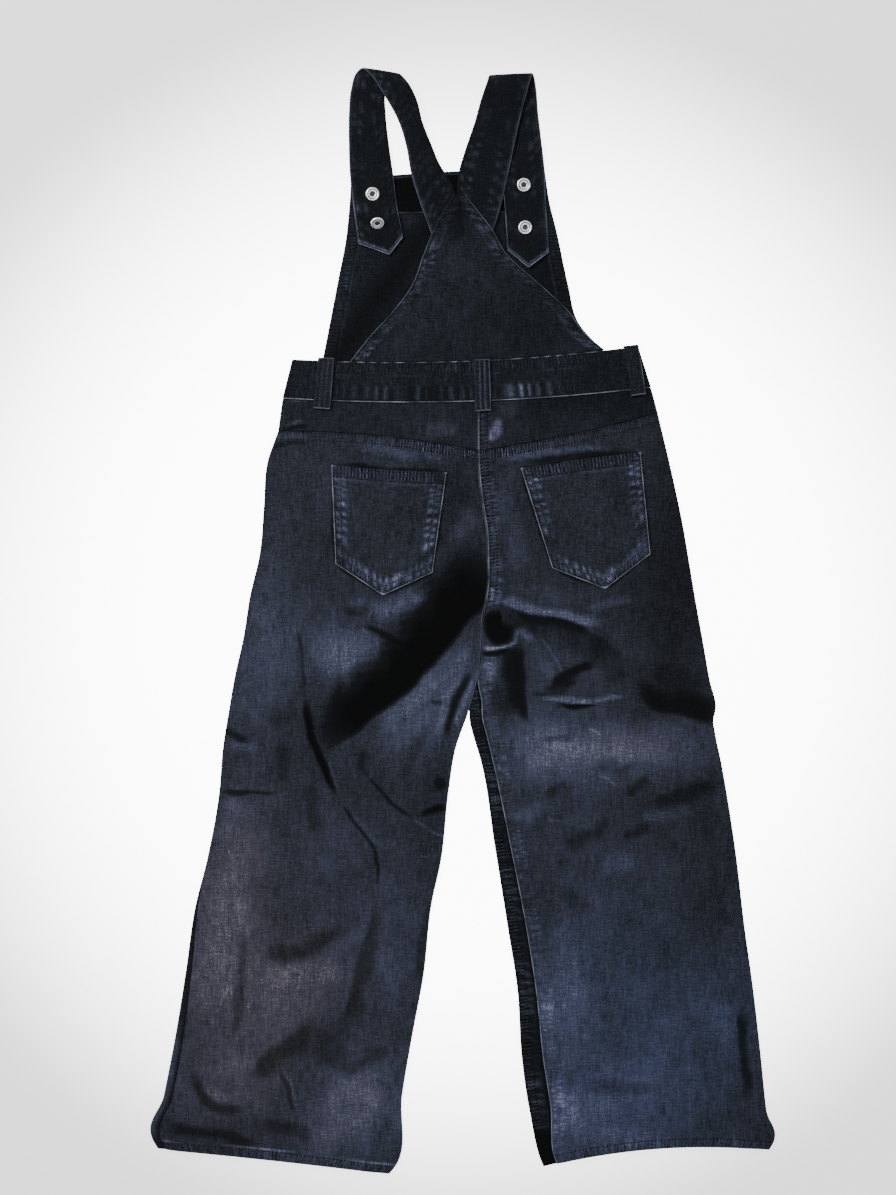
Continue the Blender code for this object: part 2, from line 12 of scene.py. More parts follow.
import bpy
import numpy as np
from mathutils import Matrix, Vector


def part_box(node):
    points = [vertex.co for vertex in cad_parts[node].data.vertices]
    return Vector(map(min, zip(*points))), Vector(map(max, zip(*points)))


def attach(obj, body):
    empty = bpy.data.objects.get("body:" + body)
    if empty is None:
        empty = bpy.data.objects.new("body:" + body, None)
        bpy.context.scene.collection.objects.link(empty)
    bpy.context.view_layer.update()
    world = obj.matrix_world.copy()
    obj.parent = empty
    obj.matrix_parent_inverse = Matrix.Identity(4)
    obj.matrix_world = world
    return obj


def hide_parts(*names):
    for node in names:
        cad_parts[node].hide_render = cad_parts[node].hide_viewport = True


bl_info = {
    "name": "Overalls laid flat",
    "version": (1, 0, 0),
    "blender": (4, 5, 0),
    "location": "View3D > Sidebar > Overalls",
    "description": "Makes a pair of bib overalls in worn denim, laid flat with the back up",
    "category": "Add Mesh",
}

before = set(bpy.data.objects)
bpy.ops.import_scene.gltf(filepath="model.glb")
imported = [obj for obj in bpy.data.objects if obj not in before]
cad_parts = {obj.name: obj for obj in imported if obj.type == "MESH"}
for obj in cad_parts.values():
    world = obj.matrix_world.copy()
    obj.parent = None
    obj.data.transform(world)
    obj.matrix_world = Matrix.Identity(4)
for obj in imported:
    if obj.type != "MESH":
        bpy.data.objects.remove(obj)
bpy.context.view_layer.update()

MM = 0.001
BODY = "root"

# Layers and seams
CLOTH = 0.0010
GAP = 0.0003
LAYER = CLOTH + GAP
WAISTBAND_WALL = 0.0016
STRAP_WALL = 0.0014
LOOP_WALL = 0.0016
HIP_LOFT = 0.0032
WAIST_LOFT = 0.0012
LEG_LOFT = 0.0036
# Heights along the garment, and the loft at each
LOFTS = ((-0.45, -0.05, 0.10, 0.20), (LEG_LOFT, LEG_LOFT, HIP_LOFT, WAIST_LOFT))
EDGE_SOFT = 0.024
PARTING = 0.060
LEG_HEM = 0.0095
SIDE_HEM = 0.0120
POCKET_HEM = 0.0125
SEAM_BAND = 0.0095
CENTRE_BAND = 0.0130
# How much thicker the cloth is over a seam, the centre seam and a hem
SEAM_RISE = 0.0005
CENTRE_RISE = 0.0004
LEG_HEM_RISE = 0.0007
POCKET_HEM_RISE = 0.0006
UPPER_RISE = 0.0004
UPPER_BAND = 0.0125
# How much higher the back waistband is in its middle than at its edges
WAISTBAND_ARCH = 0.00035
# The least strip of a front leg beside the back one, the step at its foot, and the back leg's gap from it
LEAST_LIP = 0.0005
LIP_FOOT = 0.00025
LIP_CLEAR = 1.3 * GAP
# How far the front's seams are from those of the back above them
FRONT_DROP = 0.0030
FRONT_SHIFT = -0.0015
NEEDLE_ROWS = 0.0050
TICK_STEP = 0.0031
BIB_LIFT = 0.0020
LIFT_STARTS = 0.262
LIFT_FULL = 0.335

# An edge of cloth is rounded over these first distances from it
ROUND = np.array([0.0003, 0.0009])

Section = namedtuple("Section", "left_x left_y right_x right_y bow")
LegSection = namedtuple("LegSection", "left_x left_y right_x right_y left_lip right_lip bow")
StrapSection = namedtuple("StrapSection", "left_x left_y left_up right_x right_y right_up crown")
UpperSection = namedtuple("UpperSection", "left_x left_y right_x right_y bow up")
StrapTip = namedtuple("StrapTip", "reach place")
Stroke = namedtuple("Stroke", "path soft_left soft_right amount rise")
Patch = namedtuple("Patch", "x y half_width half_height turn amount warm")
Edge = namedtuple("Edge", "line rope pitch rows reach ticks")
Button = namedtuple("Button", "name x y tilt turn sink")
Light = namedtuple("Light", "name location size energy")


def table(kind, *rows):
    """The rows of a table as named tuples in metres."""
    return [kind(*(MM * value for value in row)) for row in rows]


WAIST_TOP, WAIST_BOTTOM = table(Section, (-157, 241, 161, 253, -7.5), (-166, 205, 173, 215, -8))
MIDDLE_Y = MM * np.array([-118, -80, -54, -36, -17, 4, 20, 35, 57, 83, 109, 136, 161, 200, 240])
MIDDLE_X = MM * np.array([-7, 6, 13, 16, 17, 18, 21, 23, 23, 22, 18, 15, 14, 14, 14])
CROTCH_Y = 0.020
LEGS_PART_Y = -0.080

LEFT_LEG = table(
    LegSection,
    (-170, 175, 14, 157, 0, 0, 5),
    (-180, 146, 15, 136, 0, 0, 2),
    (-183, 108, 18, 109, 0, 0, 0),
    (-187, 62, 23, 60, 0, 0, 0),
    (-196, 23, 21, 20, 0, 0, 0),
    (-202, -15, 17, -20, 0, 0, 0),
    (-210, -51, 13, -54, 0, 0, 0),
    (-215, -80, 6, -80, 0, 0, 0),
    (-221, -118, -7, -118, 0, 0, 0),
    (-224, -155, -13, -155, 0, 0, 0),
    (-235, -217, -20, -219, 0, 0, 0),
    (-246, -261, -29, -261, 2, 0, 0),
    (-255, -322, -36, -324, 5, 0, 0),
    (-264, -378, -46, -378, 7, 0, 0),
    (-275, -435, -56, -437, 8, 0, 0),
    (-284, -479, -63.5, -502.5, 8, 0, 1),
    (-280.5, -484.5, -68, -507.6, 8, 0, 1),
)
RIGHT_LEG = table(
    LegSection,
    (14, 157, 179, 192, 0, 0, -3),
    (16, 130, 192, 137, 0, 0, 0),
    (19, 97, 202, 90, 0, 0, 0),
    (23, 57, 208, 55, 0, 0, 0),
    (21, 20, 214, 19, 0, 0, 0),
    (17, -20, 221, -20, 0, 0, 0),
    (13, -54, 227, -54, 0, 0, 0),
    (6, -80, 232.5, -80, 10.5, 0, 0),
    (6, -91, 230.3, -91, 11.5, 0, 0),
    (8, -100, 232, -103, 12, 0, 0),
    (16, -127, 237, -127, 10.5, 0, 0),
    (29, -206, 250, -206, 14, 0, 0),
    (41, -281, 259, -281, 16.5, 0, 0),
    (50, -339, 267, -339, 16.5, 0, 0),
    (54, -401, 274, -401, 19, 0, 0),
    (61, -449, 279, -449, 19, 0, 4),
    (72, -496.5, 284.5, -480.5, 12, 0, 9),
    (74, -501, 281.5, -485.5, 12, 0, 9),
)
LEGS = {"left": LEFT_LEG, "right": RIGHT_LEG}

BIB_FOOT = (0.085, 0.906)
UPPER_FOOT = (0.167, 0.903)
BIB = table(
    Section,
    (-103, 407, 75, 416, 2),
    (-104, 388, 79, 388, 0),
    (-107, 356, 86, 359, 0),
    (-116, 308, 97, 308, 0),
    (-122, 277, 105, 277, 0),
)
FACING = table(Section, (-90, 406, 62, 414, 1), (-91, 375, 67, 376, 0))
BACK_UPPER = table(
    UpperSection,
    (-8, 393, 1, 393, 0, 6.6),
    (-27, 360, 28, 358, 0, 6.6),
    (-36, 338, 39, 339, 0, 5.0),
    (-50, 304, 76, 305, 0, 4.0),
    (-68, 281, 98, 284, -1, 3.3),
    (-84, 264, 111, 266, -4, 2.9),
)
UPPER_FOOT_UP = 0.0028

STRAP_TIPS = {"left": StrapTip(0.0145, 0.69), "right": StrapTip(0.015, 0.5)}
STRAP_ON_BIB = 0.0054
STRAP_TIP_REACH = 0.032
BUTTON_BASE = STRAP_ON_BIB + STRAP_WALL / 2 + 0.8 * MM
STRAPS = {
    "left": table(
        StrapSection,
        (-96, 347, 5.4, -55, 353, 5.4, 0.4),
        (-101, 384, 5.4, -61, 385, 5.4, 0.5),
        (-104, 411, 5.4, -64, 410, 5.4, 0.4),
        (-105, 438, 2.2, -68, 438, 2.2, 0.6),
        (-105, 466, 0.8, -71, 466, 0.8, 1.0),
        (-103, 489, 1.0, -71, 487, 1.0, 1.6),
        (-98, 504.3, 3.0, -64, 500, 3.0, 2.0),
        (-93, 507.8, 7.0, -59, 502.4, 7.0, 2.0),
        (-86, 502.5, 10.0, -52.5, 496.5, 9.5, 2.0),
        (-73, 484, 9.0, -43, 480, 8.0, 2.2),
        (-59, 459, 5.0, -37, 458, 6.0, 2.5),
        (-52, 436, 3.0, -29, 438, 4.0, 2.2),
        (-48, 413, 5.4, -22, 421, 5.4, 1.2),
        (-40, 386, 5.4, -11, 403, 5.4, 0.6),
        (-29, 356, 5.4, -5.5, 390, 5.4, 0),
    ),
    "right": table(
        StrapSection,
        (41, 341, 5.4, 79, 339, 5.4, 0.3),
        (38, 383, 5.4, 76, 386, 5.4, 0.4),
        (35, 414, 5.4, 75, 414, 5.4, 0.4),
        (31, 443, 2.2, 72, 443, 2.2, 0.4),
        (29, 469, 0.8, 69, 469, 0.8, 0.6),
        (26, 491, 0.9, 67, 492, 0.9, 1.0),
        (25, 500, 2.8, 65, 502, 2.8, 1.4),
        (24, 501, 5.8, 64, 503, 5.8, 1.4),
        (22, 495, 7.4, 62, 498, 7.4, 1.6),
        (17, 481, 5.4, 58, 483, 5.4, 1.6),
        (10.5, 458, 4.4, 52, 460, 4.4, 1.2),
        (2, 433, 5.8, 46, 432, 6.8, 0.8),
        (-4, 412, 5.6, 40, 404, 7.4, 0.4),
        (-5.5, 393, 5.4, 34, 379, 6.4, 0),
        (-5, 378, 5.4, 26, 353, 5.4, 0),
    ),
}

POCKETS = {
    "left": table(Section, (-121, 144, -15, 137, -1), (-117, 53, -28, 45, -25)),
    "right": table(Section, (53, 141, 163, 156, 1), (82, 49, 172, 62, -26)),
}
POCKET_TIPS = {"left": 0.49, "right": 0.54}
BELT_LOOPS = {
    "left": table(Section, (-133, 242.5, -118, 242, 0), (-138, 196, -122, 195, 0)),
    "centre": table(Section, (10, 240.5, 24.5, 241, 0), (11, 193, 26, 194, 0)),
    "right": table(Section, (147, 253, 161, 254.5, 0), (154, 207, 168, 209, 0)),
}

# Where each button is, in metres, its tilt in degrees, the way it leans, and how deep it is sunk in the strap
BUTTONS = (
    Button("left_upper", -0.083, 0.3924, 0.0, 0.0, 0.0),
    Button("left_lower", -0.0785, 0.3655, 45.0, 8.0, -0.0026),
    Button("right_upper", 0.0557, 0.4008, 2.0, 40.0, 0.0),
    Button("right_lower", 0.057, 0.3618, 0.0, 0.0, 0.0),
)


def stroke(soft_left, soft_right, amount, rise, *path):
    """A crease, as a path of points and half widths. It is flat inside and soft on each side of its run."""
    return Stroke(MM * np.array(path, float), MM * soft_left, MM * soft_right, amount, MM * rise)


# Creases: how soft each side is, how much darker the cloth is there from painted shade in the fold (below 0)
# or lighter from wear and painted highlight on its ridge (above 0), how far it rises, and the path that the
# crease follows
STROKES = (
    # left leg: the deep fold from the seat to the knee, a soft side above and a crisp one below
    stroke(4, 24, -0.97, -2.6, (24, 72, 9), (10, 40, 20), (-18, 1, 19), (-46, -34, 18.5), (-76, -64, 17.5),
        (-95, -78, 16), (-112, -99, 12), (-123, -114, 6.5), (-128, -125, 3)),
    stroke(7.5, 9, 0.1, 1.8, (6, -17, 4.5), (-21, -50, 6.5), (-51, -76, 6.5), (-80, -111, 5.5)),
    # the patches that it leaves beside it
    stroke(13, 11, 0.14, 0.8, (-144, -17, 9), (-113, -28, 18.5), (-84, -24, 16.5), (-65, -28, 7.5)),
    stroke(11, 11, 0.16, 0.6, (-84, 9, 6.5), (-63, 12, 11), (-41, 29, 7.5)),
    stroke(7, 8, 0.12, 0.6, (-12, 70, 4), (0, 86, 6), (12, 104, 5)),
    # the long crease down its thigh
    stroke(3, 2, -0.35, -0.3, (-153, -6, 0.7), (-147, -42, 0.7), (-144, -72, 1)),
    stroke(5.5, 2, -0.95, -1.4, (-145, -70, 1.5), (-141, -100, 3), (-131, -129, 3), (-117, -161, 1.5)),
    stroke(1.5, 3, 0.2, 0.5, (-139, -87, 0.7), (-132, -113, 1), (-122, -138, 1), (-114, -160, 0.7)),
    stroke(2, 2, -0.55, -0.4, (-115, -166, 0.7), (-101, -184, 0.8), (-88, -199, 0.9), (-80, -219, 0.8),
        (-77, -243, 0.6)),
    stroke(3, 4.5, 0.1, 0.3, (-104, -175, 1.5), (-91, -190, 2), (-78, -208, 1.5)),
    stroke(6, 6, -0.3, -0.5, (-84, 15, 1), (-97, 9, 3), (-112, 8, 1)),
    stroke(3, 6, -0.6, -0.6, (-93, -1, 0.5), (-76, -10, 1.5), (-58, -20, 2), (-40, -24, 2)),
    # the crease from the knee to the inseam
    stroke(4, 6, -0.4, -0.5, (-90, -118, 1), (-92, -131, 2), (-88, -141, 1)),
    stroke(2, 2, -0.5, -0.4, (-88, -140, 0.7), (-73, -158, 0.8), (-58, -172, 0.8), (-45, -183, 0.5)),
    stroke(1.5, 1.5, 0.2, 0.4, (-52, -178, 0.5), (-36, -189, 0.8), (-18, -197, 0.5)),
    # short folds at the side seam
    stroke(3.5, 3.5, -0.5, -0.6, (-222, -99, 2.5), (-210, -104, 2.5), (-197, -109, 1)),
    stroke(3.5, 5.5, 0.12, 0.4, (-218, -111, 2), (-201, -115, 3), (-185, -116, 2)),
    stroke(2, 2.5, -0.55, -0.5, (-224, -157, 1), (-205, -157, 1.5), (-190, -156, 1), (-172, -158, 0.5)),
    stroke(4.5, 7.5, 0.08, 0.3, (-222, -166, 3.5), (-203, -170, 5.5), (-189, -170, 3.5)),
    stroke(9, 9, -0.22, -0.4, (-176, -96, 4.5), (-165, -87, 6.5), (-150, -83, 4.5)),
    stroke(6.5, 6.5, -0.25, -0.2, (-167, -111, 3), (-165, -132, 3.5), (-163, -150, 3)),
    stroke(6.5, 6.5, -0.28, -0.3, (-142, -148, 3.5), (-138, -169, 5.5), (-133, -194, 3.5)),
    stroke(5.5, 5.5, -0.2, -0.2, (-30, -92, 3), (-47, -127, 4.5), (-58, -151, 3.5)),
    # the inner edge
    stroke(5.5, 5.5, 0.16, 0.5, (0, -17, 4.5), (-6, -46, 6.5), (-16, -80, 5.5), (-25, -111, 4.5)),
    stroke(3, 4.5, -0.62, -0.6, (6, -43, 2.5), (-5, -71, 3), (-12, -92, 3), (-17, -111, 1.5)),
    stroke(3, 3, 0.22, 0.3, (11, -46, 2), (1, -76, 2.5), (-7, -100, 2)),
    stroke(3, 3, -0.45, -0.2, (-31, -72, 1), (-24, -73, 2.5), (-17, -74, 1)),
    stroke(3.5, 3.5, -0.55, -0.5, (-22, -142, 3), (-20, -150, 4.5), (-17, -155, 3.5)),
    stroke(3, 3, -0.85, -0.6, (-40, -178, 1), (-29, -175, 2), (-15, -170, 2)),
    stroke(4.5, 3.5, -0.3, -0.4, (-29, -256, 3), (-36, -293, 3.5), (-40, -334, 3)),
    # left leg below the knee
    stroke(4, 9, -0.30, -0.8, (-199, -282, 0.6), (-203, -314, 1.4), (-203, -343, 1.8), (-206, -368, 1.2),
        (-214, -386, 0.6)),
    stroke(7, 13, -0.30, -1, (-101, -283, 0.6), (-122, -290, 1.6), (-144, -302, 3), (-165, -307, 3.5),
        (-187, -310, 2)),
    stroke(6.5, 6.5, 0.12, 0.8, (-179, -330, 7.5), (-145, -324, 11), (-109, -319, 8.5)),
    stroke(13, 4, -0.36, -1, (-79, -256, 1), (-83, -276, 2), (-89, -300, 3), (-94, -322, 4), (-101, -350, 4),
        (-116, -374, 3)),
    stroke(14, 7, -0.38, -0.8, (-138, -368, 3), (-158, -388, 6.5), (-176, -402, 6), (-198, -420, 3)),
    stroke(11, 11, -0.22, -0.4, (-133, -381, 8.5), (-121, -396, 11), (-102, -407, 7.5)),
    stroke(7.5, 7.5, -0.25, -0.3, (-109, -417, 3.5), (-90, -405, 4.5), (-69, -391, 3.5)),
    stroke(5.5, 5.5, -0.42, -0.7, (-248, -417, 2), (-239, -438, 3), (-218, -448, 3), (-201, -449, 2)),
    stroke(4.5, 4.5, 0.1, 0.5, (-236, -426, 3), (-225, -435, 3.5), (-209, -438, 3)),
    stroke(3, 2, -0.35, -0.3, (-167, -414, 1.5), (-159, -431, 2), (-156, -451, 1.5)),
    stroke(1.5, 2, 0.18, 0.3, (-164, -413, 0.7), (-155, -431, 1), (-154, -451, 0.7)),
    stroke(6.5, 5.5, -0.45, -0.8, (-276, -464, 2), (-247, -468, 3), (-214, -474, 3), (-185, -480, 2)),
    stroke(5.5, 5.5, -0.3, -0.3, (-185, -460, 3.5), (-167, -464, 5.5), (-139, -475, 3.5)),
    # right leg: the roll of cloth that runs out from the crotch
    stroke(6, 2, 0.36, 1.6, (25, 20, 2), (45, 15.6, 3), (70, 10, 3), (95, 3, 3), (114, 0, 3), (132, -1.4, 2)),
    stroke(4, 4, 0.16, 0.4, (114, 10, 1.5), (134, 17, 2.5), (156, 22, 1.5)),
    stroke(2.5, 22, -0.34, -1.2, (29, 8.7, 5), (61, 0, 7), (95, -9, 8), (123, -23, 9), (141, -39, 7)),
    stroke(3, 6, -0.5, -0.6, (50, 8, 1.5), (75, 1, 2.5), (100, -4, 2), (118, -8, 1)),
    stroke(3.5, 4.5, -0.92, -2.2, (27, 11, 3), (28, 0, 8.5), (34, -12, 8.5), (41, 1, 6.5)),
    # the curl of cloth inside it
    stroke(2, 1.2, 0.6, 0.8, (17, -24, 0.7), (33, -23, 1), (45, -21, 1), (50, -13, 1)),
    stroke(3.5, 3.5, 0.34, 1.6, (43, -14, 2), (50, -9, 3), (58, -12, 3.5), (66, -20, 3)),
    stroke(1.5, 3, -0.85, -0.8, (18, -28, 1), (32, -28, 2), (42, -25, 1)),
    stroke(7, 7, 0.24, 1, (22, -34, 3), (26, -43, 5), (27, -54, 3)),
    stroke(2.5, 11, -0.72, -2, (57, -22, 2), (49, -33, 6), (49, -52, 7.5), (53, -70, 5), (58, -84, 2),
        (61, -97, 0.5)),
    stroke(9, 9, -0.3, -0.6, (25, -61, 4), (38, -74, 8), (45, -90, 6)),
    stroke(1.6, 0.9, 0.18, 0.4, (68, -13, 0.5), (82, -28, 0.6), (94, -49, 0.5)),
    stroke(7, 5, 0.14, 0.5, (71, -36, 4.5), (80, -46, 5.5), (86, -58, 3.5)),
    stroke(4, 5, -0.74, -1, (78, -58, 1), (93, -52, 4.5), (104, -46, 4), (120, -38, 1)),
    stroke(3, 3, -0.5, -0.5, (72, -62, 1), (90, -61, 2), (108, -55, 1)),
    stroke(13, 9, -0.26, -0.4, (117, -17, 7.5), (137, -39, 9), (143, -58, 7.5)),
    # folds across the knee
    stroke(4, 1.5, 0.34, 1, (68, -71, 1), (95, -72.5, 2), (111, -73.5, 1.8), (132, -71, 1.5),
        (152, -69, 0.8)),
    stroke(1, 3, -0.85, -0.8, (86, -76, 0.8), (102, -77, 1.2), (124, -75, 0.8)),
    stroke(3, 4, -0.35, -0.4, (62, -66, 1), (80, -67, 2), (98, -66, 1)),
    stroke(13, 5, -0.72, -1.4, (160, -64, 4), (183, -74, 7), (209, -80, 8.5), (236, -84, 9)),
    stroke(10, 12, -0.22, 0.4, (172, -46, 7.5), (203, -56, 9), (224, -63, 7.5)),
    stroke(3, 4, -0.25, -0.3, (74, -108, 1), (88, -106, 2), (100, -108, 1)),
    stroke(3, 6, -0.3, -0.4, (73, -160, 1), (84, -153, 2), (97, -148, 1)),
    stroke(6, 9, -0.26, -0.3, (118, -138, 2.5), (134, -130, 4), (148, -137, 3), (163, -129, 2)),
    stroke(5, 6, -0.34, -0.3, (151, -160, 1.5), (160, -151, 3), (172, -142, 1.5)),
    stroke(6, 10, -0.36, -0.7, (170, -170, 2.5), (196, -162, 4), (216, -152, 3.5), (238, -149, 2.5)),
    stroke(5.5, 5.5, 0.12, 0.3, (163, -184, 3.5), (185, -177, 5.5), (214, -172, 3.5)),
    stroke(6, 10, -0.30, -0.4, (88, -206, 2.5), (108, -198, 4), (128, -190, 3), (140, -176, 2)),
    stroke(5, 7, -0.36, -0.4, (146, -201, 2), (160, -193, 3), (173, -188, 2)),
    stroke(6.5, 6.5, 0.13, 0.3, (51, -181, 3.5), (62, -175, 6.5), (73, -168, 3.5)),
    stroke(6.5, 6.5, 0.12, 0.3, (124, -230, 4.5), (141, -223, 7.5), (159, -218, 4.5)),
    # short light marks, where the cloth has creased and been smoothed again
    stroke(1, 1, 0.22, 0, (110, -98, 0.4), (121, -101, 0.5), (130, -106, 0.3)),
    stroke(1, 1, 0.24, 0, (124, -141, 0.3), (133, -146, 0.5), (140, -153, 0.3)),
    stroke(1, 1, 0.24, 0, (137, -178, 0.3), (136, -187, 0.5), (130, -193, 0.3)),
    stroke(1, 1, 0.2, 0, (77, -178, 0.4), (83, -184, 0.6), (90, -183, 0.3)),
    stroke(1, 1, 0.26, 0, (-225, -353, 0.3), (-218, -344, 0.6), (-214, -336, 0.3)),
    stroke(1, 1, 0.24, 0, (-198, -356, 0.3), (-196, -349, 0.5), (-192, -347, 0.3)),
    stroke(1, 1, 0.22, 0, (-65, -208, 0.3), (-60, -203, 0.5), (-56, -204, 0.3)),
    stroke(1, 1, 0.26, 0, (-39, -212, 0.3), (-34, -216, 0.5), (-30, -213, 0.3)),
    # right leg below the knee
    stroke(7.5, 7.5, -0.2, -0.5, (89, -249, 4.5), (104, -256, 6.5), (117, -267, 4.5)),
    stroke(5.5, 4.5, -0.52, -0.9, (255, -354, 1.5), (257, -376, 2.5), (258, -403, 3), (262, -440, 2)),
    stroke(7.5, 7.5, 0.08, 0.6, (238, -348, 5.5), (240, -370, 8.5), (238, -392, 5.5)),
    stroke(7.5, 7.5, -0.24, -0.4, (108, -426, 3), (137, -427, 4.5), (176, -431, 3)),
    stroke(7.5, 7.5, 0.14, 0.4, (86, -433, 4.5), (97, -444, 7.5), (108, -457, 5.5)),
    stroke(7.5, 6.5, 0.12, 0.4, (122, -472, 4.5), (146, -473, 7.5), (176, -472, 4.5)),
    # hips and seat
    stroke(3.5, 3.5, 0.18, 0.5, (-161, 204, 1.5), (-152, 206, 2.5), (-140, 205, 1.5)),
    stroke(2.5, 2.5, 0.2, 0.4, (-163, 182, 0.7), (-155, 184, 1.5), (-146, 184, 0.7)),
    stroke(2, 2, -0.5, -0.4, (-168, 176, 0.7), (-155, 179, 1), (-143, 178, 0.7)),
    stroke(3, 3, 0.12, 0.3, (-172, 170, 1), (-159, 170, 2), (-146, 169, 1)),
    stroke(3, 3, -0.4, -0.4, (-176, 161, 1), (-161, 163, 1.5), (-144, 163, 1)),
    stroke(7.5, 7.5, 0.12, 0.4, (-36, 174, 3.5), (-21, 178, 6.5), (-5, 171, 4.5)),
    stroke(3, 5.5, 0.15, 0.5, (-102, 161, 1.5), (-76, 158, 2.5), (-40, 153, 3), (-10, 146, 2)),
    stroke(5.5, 5.5, 0.15, 0.5, (-113, 18, 3), (-84, 12, 4.5), (-49, 16, 4.5), (-25, 29, 3)),
    stroke(3, 3, 0.42, 0.5, (25, 165, 1.5), (30, 176, 4), (33, 187, 2)),
    stroke(6.5, 6.5, 0.1, 0.3, (32, 189, 3.5), (43, 195, 5.5), (56, 200, 3)),
    stroke(3.5, 3.5, 0.2, 0.8, (30, 146, 1.5), (55, 151, 2), (92, 158, 2), (137, 158, 1)),
    stroke(3, 4.5, -0.45, -0.4, (52, 146, 1), (89, 151, 1.5), (126, 153, 1.5), (157, 158, 1)),
    stroke(8.5, 8.5, 0.09, 0.3, (34, 130, 4.5), (43, 93, 6.5), (52, 47, 6.5)),
    stroke(7.5, 7.5, 0.07, 0.3, (34, 29, 4.5), (71, 25, 5.5), (126, 16, 4.5)),
    # the end of the crotch seam, sewn over
    stroke(2.5, 2.5, 0.3, 0.4, (25, 33, 1.5), (27, 25, 2), (26, 18, 1.5)),
    stroke(2, 2, 0.22, 0.2, (33, 31, 1), (34, 24, 1.5), (33, 18, 1)),
)


def smoothstep(value):
    value = np.clip(value, 0.0, 1.0)
    return value * value * (3.0 - 2.0 * value)


def ramp(value, start, length):
    """Nothing up to a start, and 1 from a length beyond it."""
    return smoothstep((value - start) / length)


def bell(value, middle, width):
    """1 in the middle of a band, fading out on both sides of it."""
    return np.exp(-(((value - middle) / width) ** 2))


def run_along(points):
    """How far each point of a line is along it."""
    return np.concatenate([[0.0], np.cumsum(np.linalg.norm(np.diff(points, axis=0), axis=1))])


def points_at(places, run, points):
    """Points at places along a line, whose own points are at run."""
    return np.stack([np.interp(places, run, points[:, k]) for k in range(3)], axis=1)


def smoothed(at, along, values):
    """Values given at rising places along a line, read between them on smooth curves."""
    slope = np.gradient(values, along, axis=0)
    low = np.clip(np.searchsorted(along, at, side="right") - 1, 0, len(along) - 2)
    span = (along[low + 1] - along[low])[:, None]
    t = (at - along[low])[:, None] / span
    return (
        (2 * t**3 - 3 * t**2 + 1) * values[low]
        + (t**3 - 2 * t**2 + t) * slope[low] * span
        + (3 * t**2 - 2 * t**3) * values[low + 1]
        + (t**3 - t**2) * slope[low + 1] * span
    )


def spaced(length, step):
    """Places along a length, in equal steps, with the places of a rounded edge at both ends."""
    inner = length - 2 * ROUND[-1]
    count = max(2, round(inner / step))
    middle = ROUND[-1] + inner * np.linspace(0.0, 1.0, count + 1)
    ends = np.concatenate([[0.0], ROUND[:-1]])
    return np.concatenate([ends, middle, (length - ends)[::-1]])


def section_middles(rows):
    points = []
    for row in rows:
        up = (row.left_up + row.right_up) / 2 if isinstance(row, StrapSection) else 0.0
        points.append(((row.left_x + row.right_x) / 2, (row.left_y + row.right_y) / 2, up))
    return np.array(points)


def along_rows(rows, step):
    """A table's rows read between its sections, a step apart along its middle line."""
    middle = section_middles(rows)
    along = run_along(middle)
    return smoothed(spaced(along[-1], step), along, np.array(rows, float))


def tent(share, place):
    """A line that rises from nothing at the edges of a section to 1 at one place across it."""
    return np.where(share < place, share / place, (1 - share) / (1 - place))


def bowed(left, right, share, bow):
    """Points across sections, share of the way from left to right, bowed up or down in the middle."""
    run = right - left
    square = np.stack([-run[:, 1], run[:, 0]], axis=1) / np.linalg.norm(run, axis=1)[:, None]
    reach = 4 * share * (1 - share) * bow[:, None]
    return left[:, None] + run[:, None] * share[..., None] + square[:, None] * reach[..., None]


def part_of(section, start, end):
    """The stretch of a bowed section between two shares of its length."""
    one = np.array([section], float)
    ends = bowed(one[:, 0:2], one[:, 2:4], np.array([[start, end]]), one[:, 4])[0]
    return Section(*ends[0], *ends[1], section.bow * (end - start) ** 2)


def raised(section, y):
    return section._replace(left_y=section.left_y + y, right_y=section.right_y + y)


def shares(widths, step):
    """For each section, the shares of its width where points go."""
    count = max(2, round((widths.max() - 2 * ROUND[-1]) / step))
    ends = np.concatenate([[0.0], ROUND[:-1]])[None] / widths[:, None]
    first = ROUND[-1] / widths[:, None]
    middle = first + (1 - 2 * first) * np.linspace(0.0, 1.0, count + 1)
    return np.hstack([ends, middle, 1 - ends[:, ::-1]])


def section_plan(rows, step):
    """A piece's plan from its sections, with points across each of them."""
    left, right = rows[:, 0:2], rows[:, 2:4]
    width = np.linalg.norm(right - left, axis=1)
    return bowed(left, right, shares(width, step), rows[:, 4])


def middle_x(y):
    """The seam between the legs, at each height of the back view."""
    y = np.clip(y, MIDDLE_Y[0], MIDDLE_Y[-1])
    return smoothed(y.ravel(), MIDDLE_Y, MIDDLE_X[:, None]).reshape(y.shape)


def edge_line(side, rows, outer):
    """The X of one edge of a side's sections at each Y, as rising places and values."""
    name = side if outer else {"left": "right", "right": "left"}[side]
    points = np.array([(getattr(row, name + "_y"), getattr(row, name + "_x")) for row in rows])
    return points[::-1].T


OUTLINES = {side: edge_line(side, (WAIST_TOP, WAIST_BOTTOM, *rows), True) for side, rows in LEGS.items()}
INNER_EDGES = {side: edge_line(side, rows, False) for side, rows in LEGS.items()}


def ripple(x, y, length, turn, phase):
    """A gentle wave over the plan, so that creases and wear aren't drawn with a ruler."""
    return np.sin(2 * math.pi * (x * math.cos(turn) + y * math.sin(turn)) / (MM * length) + phase)


# The dark line round a pocket: how soft and how dark it is, and its half width above, beside and below
SHADOW_SOFT = 0.0018
SHADOW_AMOUNT = -0.62
SHADOW_ABOVE, SHADOW_BESIDE, SHADOW_BELOW = 0.0011, 0.0005, 0.0007


